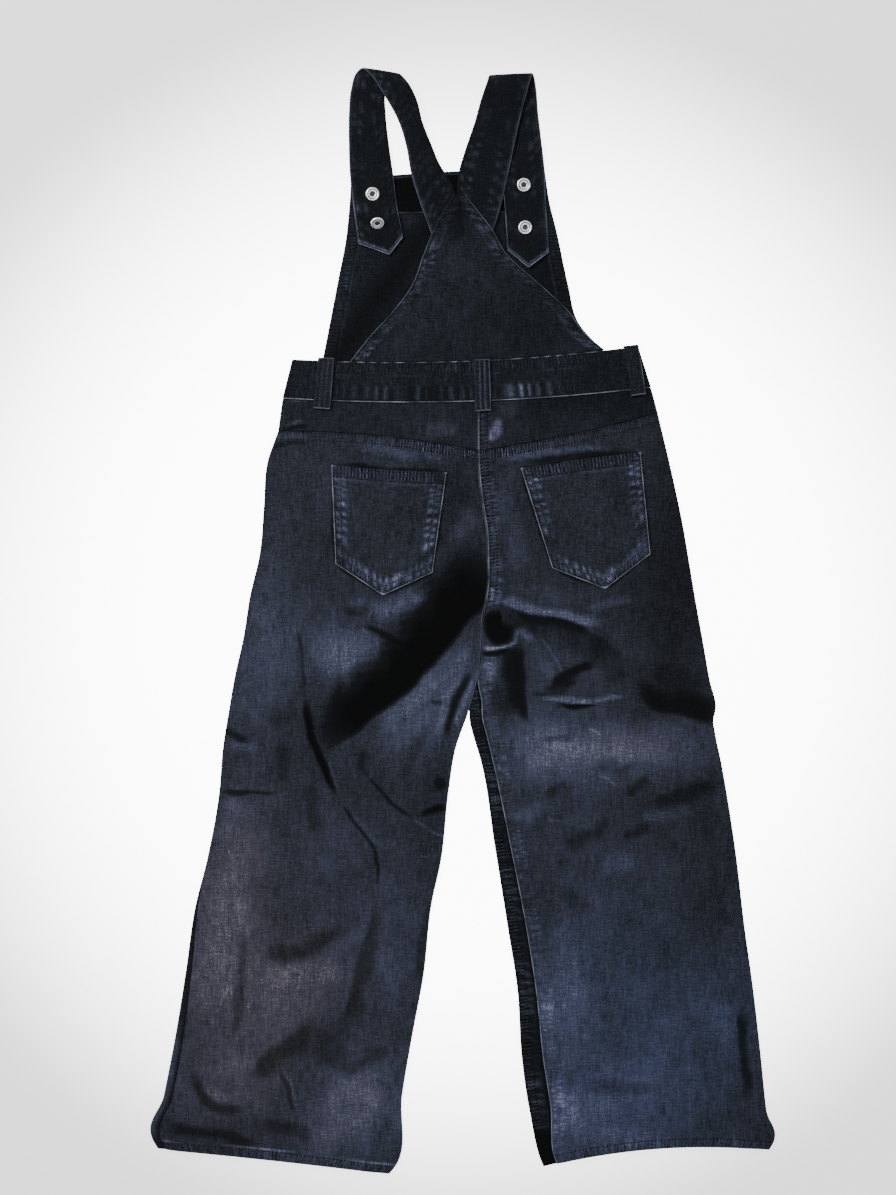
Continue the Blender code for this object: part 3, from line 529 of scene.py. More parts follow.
def pocket_shadows():
    """Dark lines on the legs round each pocket, where its edge meets them."""
    lines = []
    for side, (top, bottom) in POCKETS.items():
        share = POCKET_TIPS[side]
        top_left, top_right = top[0:2], top[2:4]
        low_left, low_right = bottom[0:2], bottom[2:4]
        tip = (
            bottom.left_x + (bottom.right_x - bottom.left_x) * share,
            bottom.left_y + (bottom.right_y - bottom.left_y) * share + bottom.bow,
        )
        for start, end, wide in (
            (top_left, top_right, SHADOW_ABOVE),
            (top_left, low_left, SHADOW_BESIDE),
            (low_left, tip, SHADOW_BELOW),
            (tip, low_right, SHADOW_BELOW),
            (low_right, top_right, SHADOW_BESIDE),
        ):
            middle = ((start[0] + end[0]) / 2, (start[1] + end[1]) / 2)
            path = np.array([(*point, wide) for point in (start, middle, end)])
            lines.append(Stroke(path, SHADOW_SOFT, SHADOW_SOFT, SHADOW_AMOUNT, 0.0))
    return lines


def stroke_profile(x, y, crease):
    """How much of a crease there is at each place, from 0 to 1."""
    along = run_along(crease.path[:, :2])
    count = max(8, round(along[-1] / (4 * MM)))
    points = smoothed(np.linspace(0.0, along[-1], count + 1), along, crease.path)
    starts, steps = points[:-1, :2], np.diff(points[:, :2], axis=0)
    offset = np.stack([x, y], axis=1)[:, None] - starts[None]
    share = np.clip((offset * steps).sum(axis=2) / (steps**2).sum(axis=1), 0.0, 1.0)
    away = offset - share[..., None] * steps[None]
    far = np.hypot(away[..., 0], away[..., 1])
    best = far.argmin(axis=1)
    pick = np.arange(len(best))
    far, share, away = far[pick, best], share[pick, best], away[pick, best]
    t = (best + share) / count
    wide = points[best, 2] * (1 - share) + points[best + 1, 2] * share
    right = steps[best, 1] * away[:, 0] - steps[best, 0] * away[:, 1] > 0
    soft = np.where(right, crease.soft_right, crease.soft_left)
    ragged = ripple(x, y, 31, 0.5, 0.3) + ripple(x, y, 13, 2.1, 1.9) * ripple(x, y, 17, 1.2, 0.4)
    far = far + 0.10 * soft * ragged
    ends = smoothstep(np.minimum(t, 1 - t) / 0.22 + 0.15)
    full = np.maximum(0.4 * wide, wide - 0.6 * soft)
    return ends * (1 - smoothstep((far - full) / (wide + 0.85 * soft - full)))


def crease_fields(x, y):
    """The height that the creases give at each place, how much lighter their worn ridges with painted
    highlight make the cloth, and how much of its lightness their painted shade and the painted shadows round
    the pockets leave.
    """
    height, light, left = np.zeros_like(x), np.zeros_like(x), np.ones_like(x)
    bent_x = x + MM * (1.1 * ripple(x, y, 53, 0.6, 1.3) + 0.35 * ripple(x, y, 21, 2.0, 0.7))
    bent_y = y + MM * (1.1 * ripple(x, y, 47, 2.3, 0.2) + 0.35 * ripple(x, y, 23, 0.9, 2.6))
    on_left = x < middle_x(y)
    for crease in (*STROKES, *pocket_shadows()):
        path_x, path_y = crease.path[len(crease.path) // 2, :2]
        reach = crease.path[:, 2].max() + max(crease.soft_left, crease.soft_right)
        low, high = crease.path[:, :2].min(axis=0) - reach, crease.path[:, :2].max(axis=0) + reach
        near = (x > low[0]) & (x < high[0]) & (y > low[1]) & (y < high[1])
        if near.any():
            profile = stroke_profile(bent_x[near], bent_y[near], crease)
            height[near] += crease.rise * profile
            profile *= on_left[near] == (path_x < middle_x(path_y))
            # Above 0 a crease lightens the cloth: wear on its ridge, with painted highlight. Below 0 it
            # darkens the cloth with painted shade, or with painted shadow round a pocket.
            if crease.amount > 0:
                light[near] += crease.amount * profile
            else:
                left[near] *= 1 + crease.amount * profile
    return height, light, left


def loft(x, y):
    """How far the flat tubes' upper side stands off the lower one: full inside, nothing at the outline."""
    on_left = x < middle_x(y)
    edges = {name: np.interp(y, *line) for name, line in OUTLINES.items()}
    inner_edges = {name: np.interp(y, *line) for name, line in INNER_EDGES.items()}
    outer = np.where(on_left, x - edges["left"], edges["right"] - x)
    inner = np.where(on_left, inner_edges["left"] - x, x - inner_edges["right"])
    parted = smoothstep((CROTCH_Y - y) / PARTING)
    edge = smoothstep(outer / EDGE_SOFT) * (1 - parted * (1 - smoothstep(inner / EDGE_SOFT)))
    full = np.interp(y, *LOFTS)
    height, light, left = crease_fields(x, y)
    return np.maximum(0.0, (full + height) * edge), (light, left)


def top_layer(x, y):
    """The height of the underside of the back panels, and the shade of their creases."""
    height, shade = loft(x, y)
    return LAYER + height, shade


def bib_lift(y):
    return BIB_LIFT * ramp(y, LIFT_STARTS, LIFT_FULL - LIFT_STARTS)


class Panel:
    """A piece of cloth on a grid: the points of its upper side, and how far each is from its edges."""

    def __init__(self, points):
        self.points = points
        self.across = self.run_of(points, 1)
        self.along = self.run_of(points, 0)
        self.width = self.across[:, -1:]
        self.length = self.along[-1:]

    @staticmethod
    def run_of(points, axis):
        steps = np.linalg.norm(np.diff(points, axis=axis), axis=2)
        run = np.cumsum(steps, axis=axis)
        return np.insert(run, 0, 0.0, axis=axis)

    def away(self):
        """The distance from each of the four edges."""
        return {
            "left": self.across,
            "right": self.width - self.across,
            "top": self.along,
            "bottom": self.length - self.along,
        }

    def read(self, row, column):
        """Points of the upper side at places between the grid's own."""
        low_row = np.clip(np.floor(row).astype(int), 0, self.points.shape[0] - 2)
        low_column = np.clip(np.floor(column).astype(int), 0, self.points.shape[1] - 2)
        v = (row - low_row)[:, None]
        u = (column - low_column)[:, None]
        p = self.points
        upper = p[low_row, low_column] * (1 - u) + p[low_row, low_column + 1] * u
        lower = p[low_row + 1, low_column] * (1 - u) + p[low_row + 1, low_column + 1] * u
        return upper * (1 - v) + lower * v

    def line(self, edge, offset, start=0.0, stop=0.0):
        """A line on the upper side at an offset from one edge, cut back by start and stop at its ends."""
        rows, columns = self.points.shape[:2]
        away = self.away()[edge]
        order = slice(None) if edge in ("left", "top") else slice(None, None, -1)
        if edge in ("left", "right"):
            places = np.arange(columns)[order]
            row = np.arange(rows, dtype=float)
            column = np.array([np.interp(offset, away[i][order], places) for i in range(rows)])
        else:
            places = np.arange(rows)[order]
            column = np.arange(columns, dtype=float)
            row = np.array([np.interp(offset, away[:, i][order], places) for i in range(columns)])
        points = self.read(row, column)
        run = run_along(points)
        places = np.linspace(start, run[-1] - stop, max(2, round((run[-1] - stop - start) / (2 * MM))))
        return points_at(places, run, points)


def rope_pattern(run, seed):
    """Puckers along a seam, uneven in length and strength, from 0 to 1."""
    wander = 0.45 * np.sin(0.61 * run + seed) + 0.3 * np.sin(1.37 * run + 2.1 * seed)
    wave = (0.5 + 0.5 * np.cos(2 * math.pi * (run + wander))) ** 1.5
    strength = 0.55 + 0.3 * np.sin(0.43 * run + 1.7 * seed) + 0.15 * np.sin(1.9 * run + seed)
    return wave * strength


def roping(away, run, rope, seed):
    """Puckers beside a seam, in one band or in two rows. Below 0, the cloth between them is dark."""
    pitch, rows, reach = rope
    wander = 0.6 * MM * np.sin(run / (5 * MM) + seed)
    first = rope_pattern(run / pitch, seed) - 0.16
    second = rope_pattern(run / pitch + 0.22, seed + 0.4) - 0.16
    band = ramp(away, 1.5 * MM, 1.5 * MM) * (1 - ramp(away, 0.7 * reach, 0.3 * reach))
    two = first * bell(away + wander, 0.34 * reach, 0.14 * reach)
    two += 0.9 * second * bell(away - wander, 0.82 * reach, 0.21 * reach)
    return np.where(rows > 1.5, two, band * first)


# What a point far from every finished edge has
NO_EDGE = {"run": 0.0, "line": 0.0, "ticks": 0.0, "rope": 0.0, "pitch": 1.0, "rows": 1.0, "reach": 0.01}
FAR = 0.05


def seam_marks(panel, edges, seed=0.0):
    """For each point, its nearest finished edge: how far, how far along it, and what shows there."""
    shape = panel.across.shape
    away = np.full(shape, FAR)
    here = {key: np.full(shape, value) for key, value in NO_EDGE.items()}
    down = panel.along / panel.length * panel.length.mean()
    across = panel.across / panel.width * panel.width.mean()
    along = {"left": down, "right": down, "top": across, "bottom": across}
    for name, distance in panel.away().items():
        if name not in edges:
            continue
        nearer = distance < away
        away = np.where(nearer, distance, away)
        edge = edges[name]
        found = edge._replace(pitch=MM * edge.pitch, reach=MM * edge.reach)._asdict()
        for key, value in {"run": along[name], **found}.items():
            here[key] = np.where(nearer, value, here[key])
    marks = {key: here[key] for key in ("run", "line", "ticks")}
    marks["away"] = away
    reach, two_rows = here["reach"], here["rows"] > 1.5
    pucker = here["rope"] * roping(away, here["run"], (here["pitch"], here["rows"], reach), seed)
    band = ramp(away, 2 * MM, 3 * MM) * (1 - ramp(away, 0.9 * reach, 3 * MM))
    pale = 0.07 * here["rope"] * band * two_rows * (1 + np.sin(here["run"] / (6 * MM) + seed))
    return marks, pucker, pale


def add_mesh(name, vertices, faces, material):
    mesh = bpy.data.meshes.new(name)
    mesh.from_pydata(vertices.tolist(), [], faces)
    mesh.materials.append(material)
    mesh.shade_smooth()
    piece = bpy.data.objects.new(name, mesh)
    bpy.context.scene.collection.objects.link(piece)
    return piece


def shell(name, panel, inner, marks, material):
    """A closed shell of cloth between the panel's points and the inner ones, with rounded edges."""
    edge = np.minimum.reduce(list(panel.away().values()))
    flat = 1 - np.clip(edge / ROUND[-1], 0.0, 1.0)
    drop = 0.8 * (1 - np.sqrt(1 - 0.98 * flat**2))[..., None]
    middle = (panel.points + inner) / 2
    upper = middle + (panel.points - middle) * (1 - drop)
    lower = middle + (inner - middle) * (1 - drop)
    rows, columns = edge.shape
    index = np.arange(rows * columns).reshape(rows, columns)
    quads = np.stack([index[:-1, :-1], index[1:, :-1], index[1:, 1:], index[:-1, 1:]], axis=2).reshape(-1, 4)
    rim = np.concatenate([index[0, :-1], index[:-1, -1], index[-1, :0:-1], index[:0:-1, 0]])
    after = np.roll(rim, -1)
    count = rows * columns
    walls = np.stack([rim, after, after + count, rim + count], axis=1)
    faces = np.vstack([quads, quads[:, ::-1] + count, walls])
    vertices = np.concatenate([upper.reshape(-1, 3), lower.reshape(-1, 3)])
    piece = add_mesh(name, vertices, faces.tolist(), material)
    for key, value in marks.items():
        layer = piece.data.attributes.new(key, "FLOAT", "POINT")
        layer.data.foreach_set("value", np.tile(value.ravel(), 2).astype(np.float32))
    return piece


# One stitch: how many sides its tube has, and its rings' places along it, widths and heights
STITCH_SIDES = 5
STITCH_RINGS = ((-0.40, 0.75, 0.10), (0.0, 1.0, 0.35), (0.40, 0.75, 0.10))


def one_stitch():
    """The points of a short tube with closed ends, one unit long, and its faces."""
    around = np.linspace(0.0, 2 * math.pi, STITCH_SIDES, endpoint=False)
    points = [(-0.5, 0.0, -0.5)]
    for at, wide, up in STITCH_RINGS:
        points += [(at, wide * math.cos(a), wide * math.sin(a) + up) for a in around]
    points.append((0.5, 0.0, -0.5))
    end = len(points) - 1
    faces = []
    for i in range(STITCH_SIDES):
        j = (i + 1) % STITCH_SIDES
        faces.append((0, 1 + j, 1 + i, 1 + i))
        low = 1
        for _ in STITCH_RINGS[1:]:
            faces.append((low + i, low + j, low + STITCH_SIDES + j, low + STITCH_SIDES + i))
            low += STITCH_SIDES
        faces.append((low + i, low + j, end, end))
    return np.array(points), np.array(faces)


def stitches(name, lines, length, gap, thread, material):
    """Raised threads along lines on the cloth, joined in one mesh."""
    shape, faces = one_stitch()
    pieces = []
    for line in lines:
        run = run_along(line)
        count = int((run[-1] + gap) / (length + gap))
        if count < 1:
            continue
        starts = np.linspace(0.0, run[-1] - length, count) if count > 1 else np.array([0.0])
        pieces.append(np.stack([points_at(starts + s, run, line) for s in (0.0, length)], axis=1))
    ends = np.concatenate(pieces)
    centre = ends.mean(axis=1)
    forward = ends[:, 1] - ends[:, 0]
    side = np.cross(forward, (0.0, 0.0, 1.0))
    side /= np.linalg.norm(side, axis=1)[:, None] + 1e-12
    up = np.cross(side, forward)
    up /= np.linalg.norm(up, axis=1)[:, None] + 1e-12
    radius = thread / 2
    points = (
        centre[:, None]
        + forward[:, None] * shape[None, :, 0:1]
        + side[:, None] * shape[None, :, 1:2] * radius
        + up[:, None] * shape[None, :, 2:3] * radius
    )
    offsets = (np.arange(len(ends)) * len(shape))[:, None, None]
    corners = (faces[None] + offsets).reshape(-1, 4).tolist()
    return add_mesh(name, points.reshape(-1, 3), [tuple(dict.fromkeys(face)) for face in corners], material)


class Shader:
    """Adds a material's nodes, each call one node, and gives back its output socket."""

    def __init__(self, name):
        self.material = bpy.data.materials.new(name)
        self.material.use_nodes = True
        self.tree = self.material.node_tree
        self.surface = self.tree.nodes["Principled BSDF"]

    def set(self, socket, value):
        if isinstance(value, bpy.types.NodeSocket):
            self.tree.links.new(value, socket)
        else:
            socket.default_value = value

    def node(self, kind, *values, output=0, **settings):
        node = self.tree.nodes.new(kind)
        for key, value in settings.items():
            setattr(node, key, value)
        for socket, value in zip(node.inputs, values):
            if value is not None:
                self.set(socket, value)
        return node.outputs[output]

    def mark(self, name):
        return self.node("ShaderNodeAttribute", output="Fac", attribute_name=name)

    def math(self, operation, *values, clamp=False):
        return self.node("ShaderNodeMath", *values, operation=operation, use_clamp=clamp)

    def add(self, *values):
        total = values[0]
        for value in values[1:]:
            total = self.math("ADD", total, value)
        return total

    def times(self, a, b):
        return self.math("MULTIPLY", a, b)

    def stretched(self, vector, scale, turn=0.0):
        return self.node("ShaderNodeMapping", vector, None, (0.0, 0.0, math.radians(turn)), scale)

    def noise(self, vector, detail=2.0, roughness=0.5):
        """Noise with cells of about one unit, around nothing: from -0.5 to 0.5."""
        value = self.node("ShaderNodeTexNoise", vector, None, 1.0, detail, roughness)
        return self.math("SUBTRACT", value, 0.5)

    def between(self, value, low, high, start=0.0, end=1.0):
        return self.node(
            "ShaderNodeMapRange", value, low, high, start, end, clamp=True, interpolation_type="SMOOTHSTEP"
        )

    def blend(self, share, first, second, how="MIX"):
        node = self.tree.nodes.new("ShaderNodeMix")
        node.data_type = "RGBA"
        node.blend_type = how
        for name, value in (("Factor", share), ("A", first), ("B", second)):
            socket = [s for s in node.inputs if s.name == name and s.enabled][0]
            self.set(socket, value)
        return [s for s in node.outputs if s.enabled][0]

    def finish(self, colour, roughness, height=None, depth=0.0004):
        self.set(self.surface.inputs["Base Color"], colour)
        self.surface.inputs["Roughness"].default_value = roughness
        if height is not None:
            bump = self.tree.nodes.new("ShaderNodeBump")
            bump.inputs["Strength"].default_value = 0.6
            bump.inputs["Distance"].default_value = depth
            self.tree.links.new(height, bump.inputs["Height"])
            self.tree.links.new(bump.outputs["Normal"], self.surface.inputs["Normal"])
        return self.material


# How light each stop of the wear ramp is, from the painted shade of a deep fold to cloth worn on a ridge,
# which painted highlights on ridges also reach
WEAR_STOPS = (0.0, 0.25, 0.45, 0.65, 0.85, 1.0)
WEAR_COLOURS = ("fold", "dark", "plain", "faded", "worn", "bare")


# The cloth's noises: cells in a metre each way, how far its grain is turned, its detail and its roughness
DENIM_NOISES = {
    "warp": ((760.0, 75.0, 1.0), 0.0, 3.0, 0.6),
    "weft": ((95.0, 700.0, 1.0), 0.0, 3.0, 0.6),
    "streak": ((190.0, 24.0, 1.0), 0.0, 3.0, 0.6),
    "fleck": ((900.0, 620.0, 520.0), 17.0, 2.0, 0.5),
    "mottle": ((75.0, 60.0, 60.0), 0.0, 4.0, 0.62),
    "cloud": ((20.0, 15.0, 18.0), 0.0, 3.0, 0.5),
    "lint": ((330.0, 70.0, 1.0), 9.0, 2.0, 0.5),
}


def needle_marks(shader, away, run):
    """Rows of needle marks along a seam, strong in some places and gone in others, and where that is."""
    rows = shader.math("ABSOLUTE", shader.math("SINE", shader.times(away, math.pi / NEEDLE_ROWS)))
    rows = shader.times(rows, shader.between(away, 2.15 * NEEDLE_ROWS, 1.95 * NEEDLE_ROWS))
    place = shader.node("ShaderNodeCombineXYZ", shader.times(run, 230.0), shader.times(away, 90.0), 0.0)
    wander = shader.times(shader.noise(place, 1.0), 7.0)
    ticks = shader.math("SINE", shader.add(shader.times(run, 2 * math.pi / TICK_STEP), wander))
    ticks = shader.math("SUBTRACT", shader.between(ticks, -0.3, 0.8), 0.4)
    ticks = shader.times(shader.times(ticks, rows), shader.mark("ticks"))
    patchy = shader.noise(shader.node("ShaderNodeCombineXYZ", shader.times(run, 55.0), 0.0, 0.0), 3.0)
    patchy = shader.math("MULTIPLY_ADD", patchy, 3.4, 0.62, clamp=True)
    return shader.times(ticks, patchy), patchy


def denim(name, colours, grain):
    """Worn stretch denim: slubs both ways, mottled wear, worn edges and needle marks along its seams, painted
    shade in its folds and along some edges, and painted highlight on its ridges.
    """
    shader = Shader(name)
    place = shader.node("ShaderNodeTexCoord", output="Object")
    noise = {
        key: shader.noise(shader.stretched(place, scale, grain + turn), detail, roughness)
        for key, (scale, turn, detail, roughness) in DENIM_NOISES.items()
    }
    tone, left, warm = shader.mark("tone"), shader.mark("left"), shader.mark("warm")
    away, run = shader.mark("away"), shader.mark("run")
    ticks, patchy = needle_marks(shader, away, run)
    weave = shader.add(
        shader.times(noise["warp"], 1.1), shader.times(noise["weft"], 0.9), shader.times(noise["fleck"], 1.2)
    )
    wear = shader.add(
        shader.times(noise["streak"], 0.45),
        shader.times(noise["mottle"], 0.42),
        shader.times(noise["cloud"], 0.50),
    )
    grainy = shader.math("ADD", shader.add(shader.times(weave, 0.6), wear), 1.0)
    worn = shader.add(shader.times(tone, grainy), shader.times(ticks, 0.8), shader.times(weave, 0.16))
    # painted shade: the creases' fold shade and the shadows round the pockets darken the cloth here
    worn = shader.times(worn, left)
    lint = shader.times(shader.between(noise["lint"], 0.22, 0.30), shader.times(tone, left))
    worn = shader.add(worn, shader.times(lint, 0.45))
    ramp_node = shader.tree.nodes.new("ShaderNodeValToRGB")
    shader.set(ramp_node.inputs["Fac"], worn)
    stops = ramp_node.color_ramp.elements
    while len(stops) < len(WEAR_STOPS):
        stops.new(0.5)
    for stop, position, key in zip(stops, WEAR_STOPS, WEAR_COLOURS):
        stop.position = position
        stop.color = colours[key]
    colour = ramp_node.outputs["Color"]
    for way, key in ((1.0, "warm"), (-1.0, "cool")):
        share = shader.math("MULTIPLY", warm, way, clamp=True)
        colour = shader.blend(share, colour, colours[key], "MULTIPLY")
    # Above 0 an edge's line is worn cloth; below 0 it is a dark line of painted shade along the edge, in the
    # darkest colour.
    edge_wear_and_shade = shader.times(shader.mark("line"), shader.between(away, 0.0012, 0.0004))
    edge_wear_and_shade = shader.times(edge_wear_and_shade, patchy)
    colour = shader.blend(shader.math("MAXIMUM", edge_wear_and_shade, 0.0), colour, colours["edge"])
    colour = shader.blend(shader.math("MULTIPLY", edge_wear_and_shade, -1.0, clamp=True), colour, colours["fold"])
    height = shader.add(weave, shader.times(ticks, 1.6), shader.times(noise["mottle"], 0.6))
    shader.surface.inputs["Sheen Weight"].default_value = 0.02
    shader.surface.inputs["Sheen Roughness"].default_value = 0.5
    shader.surface.inputs["Specular IOR Level"].default_value = 0.03
    return shader.finish(colour, 0.8, height)


def lit(colour, share):
    """A colour made darker or lighter."""
    return tuple(min(1.0, share * value) for value in colour[:3]) + (1.0,)


def thread_material(name, colour):
    shader = Shader(name)
    place = shader.node("ShaderNodeTexCoord", output="Object")
    twist = shader.noise(shader.stretched(place, (2600.0, 2600.0, 2600.0)), 1.0)
    tint = shader.blend(shader.between(twist, -0.3, 0.3), colour, lit(colour, 2.2))
    shader.surface.inputs["Specular IOR Level"].default_value = 0.05
    return shader.finish(tint, 0.7, twist, 0.0001)


def steel_material(name, colour):
    shader = Shader(name)
    place = shader.node("ShaderNodeTexCoord", output="Object")
    scratches = shader.noise(shader.stretched(place, (2200.0, 500.0, 900.0), 30.0), 3.0)
    stain = shader.noise(shader.stretched(place, (420.0, 420.0, 420.0)), 3.0)
    tint = shader.blend(shader.between(stain, -0.2, 0.3), lit(colour, 0.6), colour)
    shader.surface.inputs["Metallic"].default_value = 0.9
    return shader.finish(tint, 0.36, shader.add(scratches, stain), 0.00006)


class OverallsSizes(bpy.types.PropertyGroup):
    leg_grid: bpy.props.FloatProperty(
        name="Leg grid", description="Distance between the points of a leg panel",
        default=0.00183, min=0.001, max=0.02, precision=4, unit="LENGTH",
    )
    fine_grid: bpy.props.FloatProperty(
        name="Fine grid", description="Distance between the points of a small panel",
        default=0.0013, min=0.0008, max=0.02, precision=4, unit="LENGTH",
    )
    stitch: bpy.props.FloatProperty(
        name="Stitch", description="Length of one stitch", default=0.0030, min=0.001, max=0.01,
        precision=4, unit="LENGTH",
    )
    stitch_gap: bpy.props.FloatProperty(
        name="Stitch gap", description="Gap between two stitches", default=0.0007, min=0.0, max=0.01,
        precision=4, unit="LENGTH",
    )
    thread: bpy.props.FloatProperty(
        name="Thread", description="Thickness of the sewing thread", default=0.0006, min=0.0002, max=0.002,
        precision=4, unit="LENGTH",
    )


def colour_property(name, description, default):
    return bpy.props.FloatVectorProperty(
        name=name, description=description, default=default, min=0.0, max=1.0, size=4, subtype="COLOR"
    )


class OverallsColours(bpy.types.PropertyGroup):
    # painted shade: the near black at the bottom of a deep fold and in the dark lines along some edges
    fold: colour_property("Fold", "Denim in a deep fold", (0.0002, 0.0002, 0.0003, 1.0))
    dark: colour_property("Dark", "Denim that isn't worn", (0.0024, 0.0030, 0.0040, 1.0))
    plain: colour_property("Plain", "Denim with light wear", (0.0084, 0.0097, 0.0136, 1.0))
    faded: colour_property("Faded", "Faded denim", (0.0165, 0.0190, 0.0330, 1.0))
    worn: colour_property("Worn", "Denim worn on a ridge", (0.0300, 0.0320, 0.0520, 1.0))
    bare: colour_property("Bare", "Denim worn to its white yarn", (0.0620, 0.0660, 0.0950, 1.0))
    warm: colour_property("Warm", "Tint where the dye has turned purple grey", (1.0, 0.86, 0.74, 1.0))
    cool: colour_property("Cool", "Tint where the dye is still navy", (0.93, 1.0, 1.12, 1.0))
    edge: colour_property("Edge", "Denim worn through along an edge", (0.1150, 0.1250, 0.1600, 1.0))
    thread: colour_property("Thread", "Sewing thread", (0.0008, 0.0009, 0.0012, 1.0))
    steel: colour_property("Steel", "Tack buttons", (0.6200, 0.6300, 0.6500, 1.0))
    floor: colour_property("Floor", "The pale floor", (0.9000, 0.9000, 0.9000, 1.0))


COLOUR_NAMES = tuple(OverallsColours.__annotations__)


def colours():
    settings = bpy.context.scene.overalls_colours
    return {name: tuple(getattr(settings, name)) for name in COLOUR_NAMES}


# How worn the cloth of each group of pieces is
TONES = {
    "leg": 0.42, "yoke": 0.34, "waist": 0.28, "pocket": 0.40, "bib": 0.28, "upper": 0.31, "strap": 0.20,
    "facing": 0.02, "strip": 0.26, "loop": 0.34,
}


def seams(**rows):
    return {name: Edge(*row) for name, row in rows.items()}


# What shows along each finished edge: how worn its very edge is (below 0, a dark line of painted shade along
# it), how strong its puckers are, how far apart, in how many rows and how far they reach from the edge, in
# millimetres, and how strong its needle marks are
LEG_TOP, LEG_FOOT = (-0.8, 0.10, 9, 1, 10, 1.0), (0.25, 0.35, 7, 1, 9, 0.4)
SEAMS = {
    "back_leg_left": seams(
        left=(-0.6, 0, 9, 1, 9, 0), right=(0.30, 0.05, 6, 1, 6, 0), top=LEG_TOP, bottom=LEG_FOOT
    ),
    "back_leg_right": seams(
        left=(0.60, 0.60, 5.5, 2, 13, 0.6), right=(-0.5, 0, 9, 1, 9, 0), top=LEG_TOP, bottom=LEG_FOOT
    ),
    "front_leg_left": seams(left=(0.15, 0, 6, 1, 6, 0.2)),
    "front_leg_right": seams(left=(-0.4, 0.5, 6.5, 1, 17, 0.7)),
    "waistband": seams(top=(0.50, 0.30, 8, 1, 9, 0.4), bottom=(1.2, 0.80, 9.5, 1, 17, 0.15)),
    "yoke_left": seams(right=(0.2, 0, 6, 1, 6, 0), top=(-0.9, 0, 6, 1, 6, 0)),
    "yoke_right": seams(left=(0.5, 0.3, 6, 2, 13, 0.3), top=(-0.9, 0, 6, 1, 6, 0)),
    "bib": seams(left=(0.10, 0.20, 9, 2, 10, 0.35), right=(0.10, 0.20, 9, 2, 10, 0.35)),
    "facing": seams(bottom=(0.22, 0, 6, 1, 6, 0.1), top=(0.1, 0, 6, 1, 6, 0)),
    "upper": seams(left=(0.35, 0.75, 9.5, 2, 12, 0.25), right=(0.45, 0.6, 9.5, 2, 12, 0.25)),
    "strap": seams(
        left=(0.35, 0.45, 11, 2, 13, 0.1), right=(0.30, 0.35, 11, 2, 13, 0.1), top=(1, 0.2, 6, 1, 6, 0)
    ),
    "pocket": seams(
        left=(0.75, 0.80, 8.5, 2, 13, 0.25), right=(0.80, 0.95, 8.5, 2, 13, 0.25),
        bottom=(0.90, 0.90, 7.5, 2, 15, 0.45), top=(-0.95, 0, 3, 1, 9, 0.8),
    ),
    "loop": seams(
        left=(-0.85, 0, 7, 1, 6, 0), right=(0.25, 0, 7, 1, 6, 0),
        bottom=(0.95, 0, 5, 1, 6, 0), top=(0.3, 0, 5, 1, 6, 0),
    ),
}

# How far each row of stitches is from its edge
STITCH_ROWS = {
    "leg_top": (0.0016, 0.0080), "centre": (0.0018, 0.0082), "inseam": (0.0022, 0.0084),
    "waistband": (0.0018,), "bib": (0.0105,), "facing": (0.0020,), "upper": (0.0020, 0.0110),
    "strap": (0.0020, 0.0080), "pocket": (0.0018, 0.0080), "loop": (0.0040,),
}


def cloth_material(grain=0.0):
    name = f"denim, grain turned {grain:g}"
    return bpy.data.materials.get(name) or denim(name, colours(), grain)


def thread():
    return bpy.data.materials.get("thread") or thread_material("thread", colours()["thread"])


def stitch_lines(panel, rows, edges, start=0.0, stop=0.0):
    """The lines that a group's stitches follow along some edges of a piece."""
    return [panel.line(edge, row, start, stop) for edge in edges for row in STITCH_ROWS[rows]]


def sewn(name, lines):
    sizes = bpy.context.scene.overalls_sizes
    return stitches(name, lines, sizes.stitch, sizes.stitch_gap, sizes.thread, thread())


def lay(piece, node, sewing=None):
    """The piece stands for its node, which is hidden, and its stitches go with it."""
    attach(piece, BODY)
    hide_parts(node)
    if sewing:
        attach(sewing, BODY)


def patch_tone(x, y, patches):
    """Soft patches of wear: how light they make the cloth, and how warm."""
    tone = np.zeros_like(x)
    warm = np.zeros_like(x)
    for patch in patches:
        turn = math.radians(patch.turn / MM)
        dx, dy = x - patch.x, y - patch.y
        u = (dx * math.cos(turn) + dy * math.sin(turn)) / patch.half_width
        v = (dy * math.cos(turn) - dx * math.sin(turn)) / patch.half_height
        soft = np.exp(-(u**2 + v**2))
        tone += patch.amount * soft
        warm += patch.warm * soft
    return tone, np.clip(warm, -1.0, 1.0)


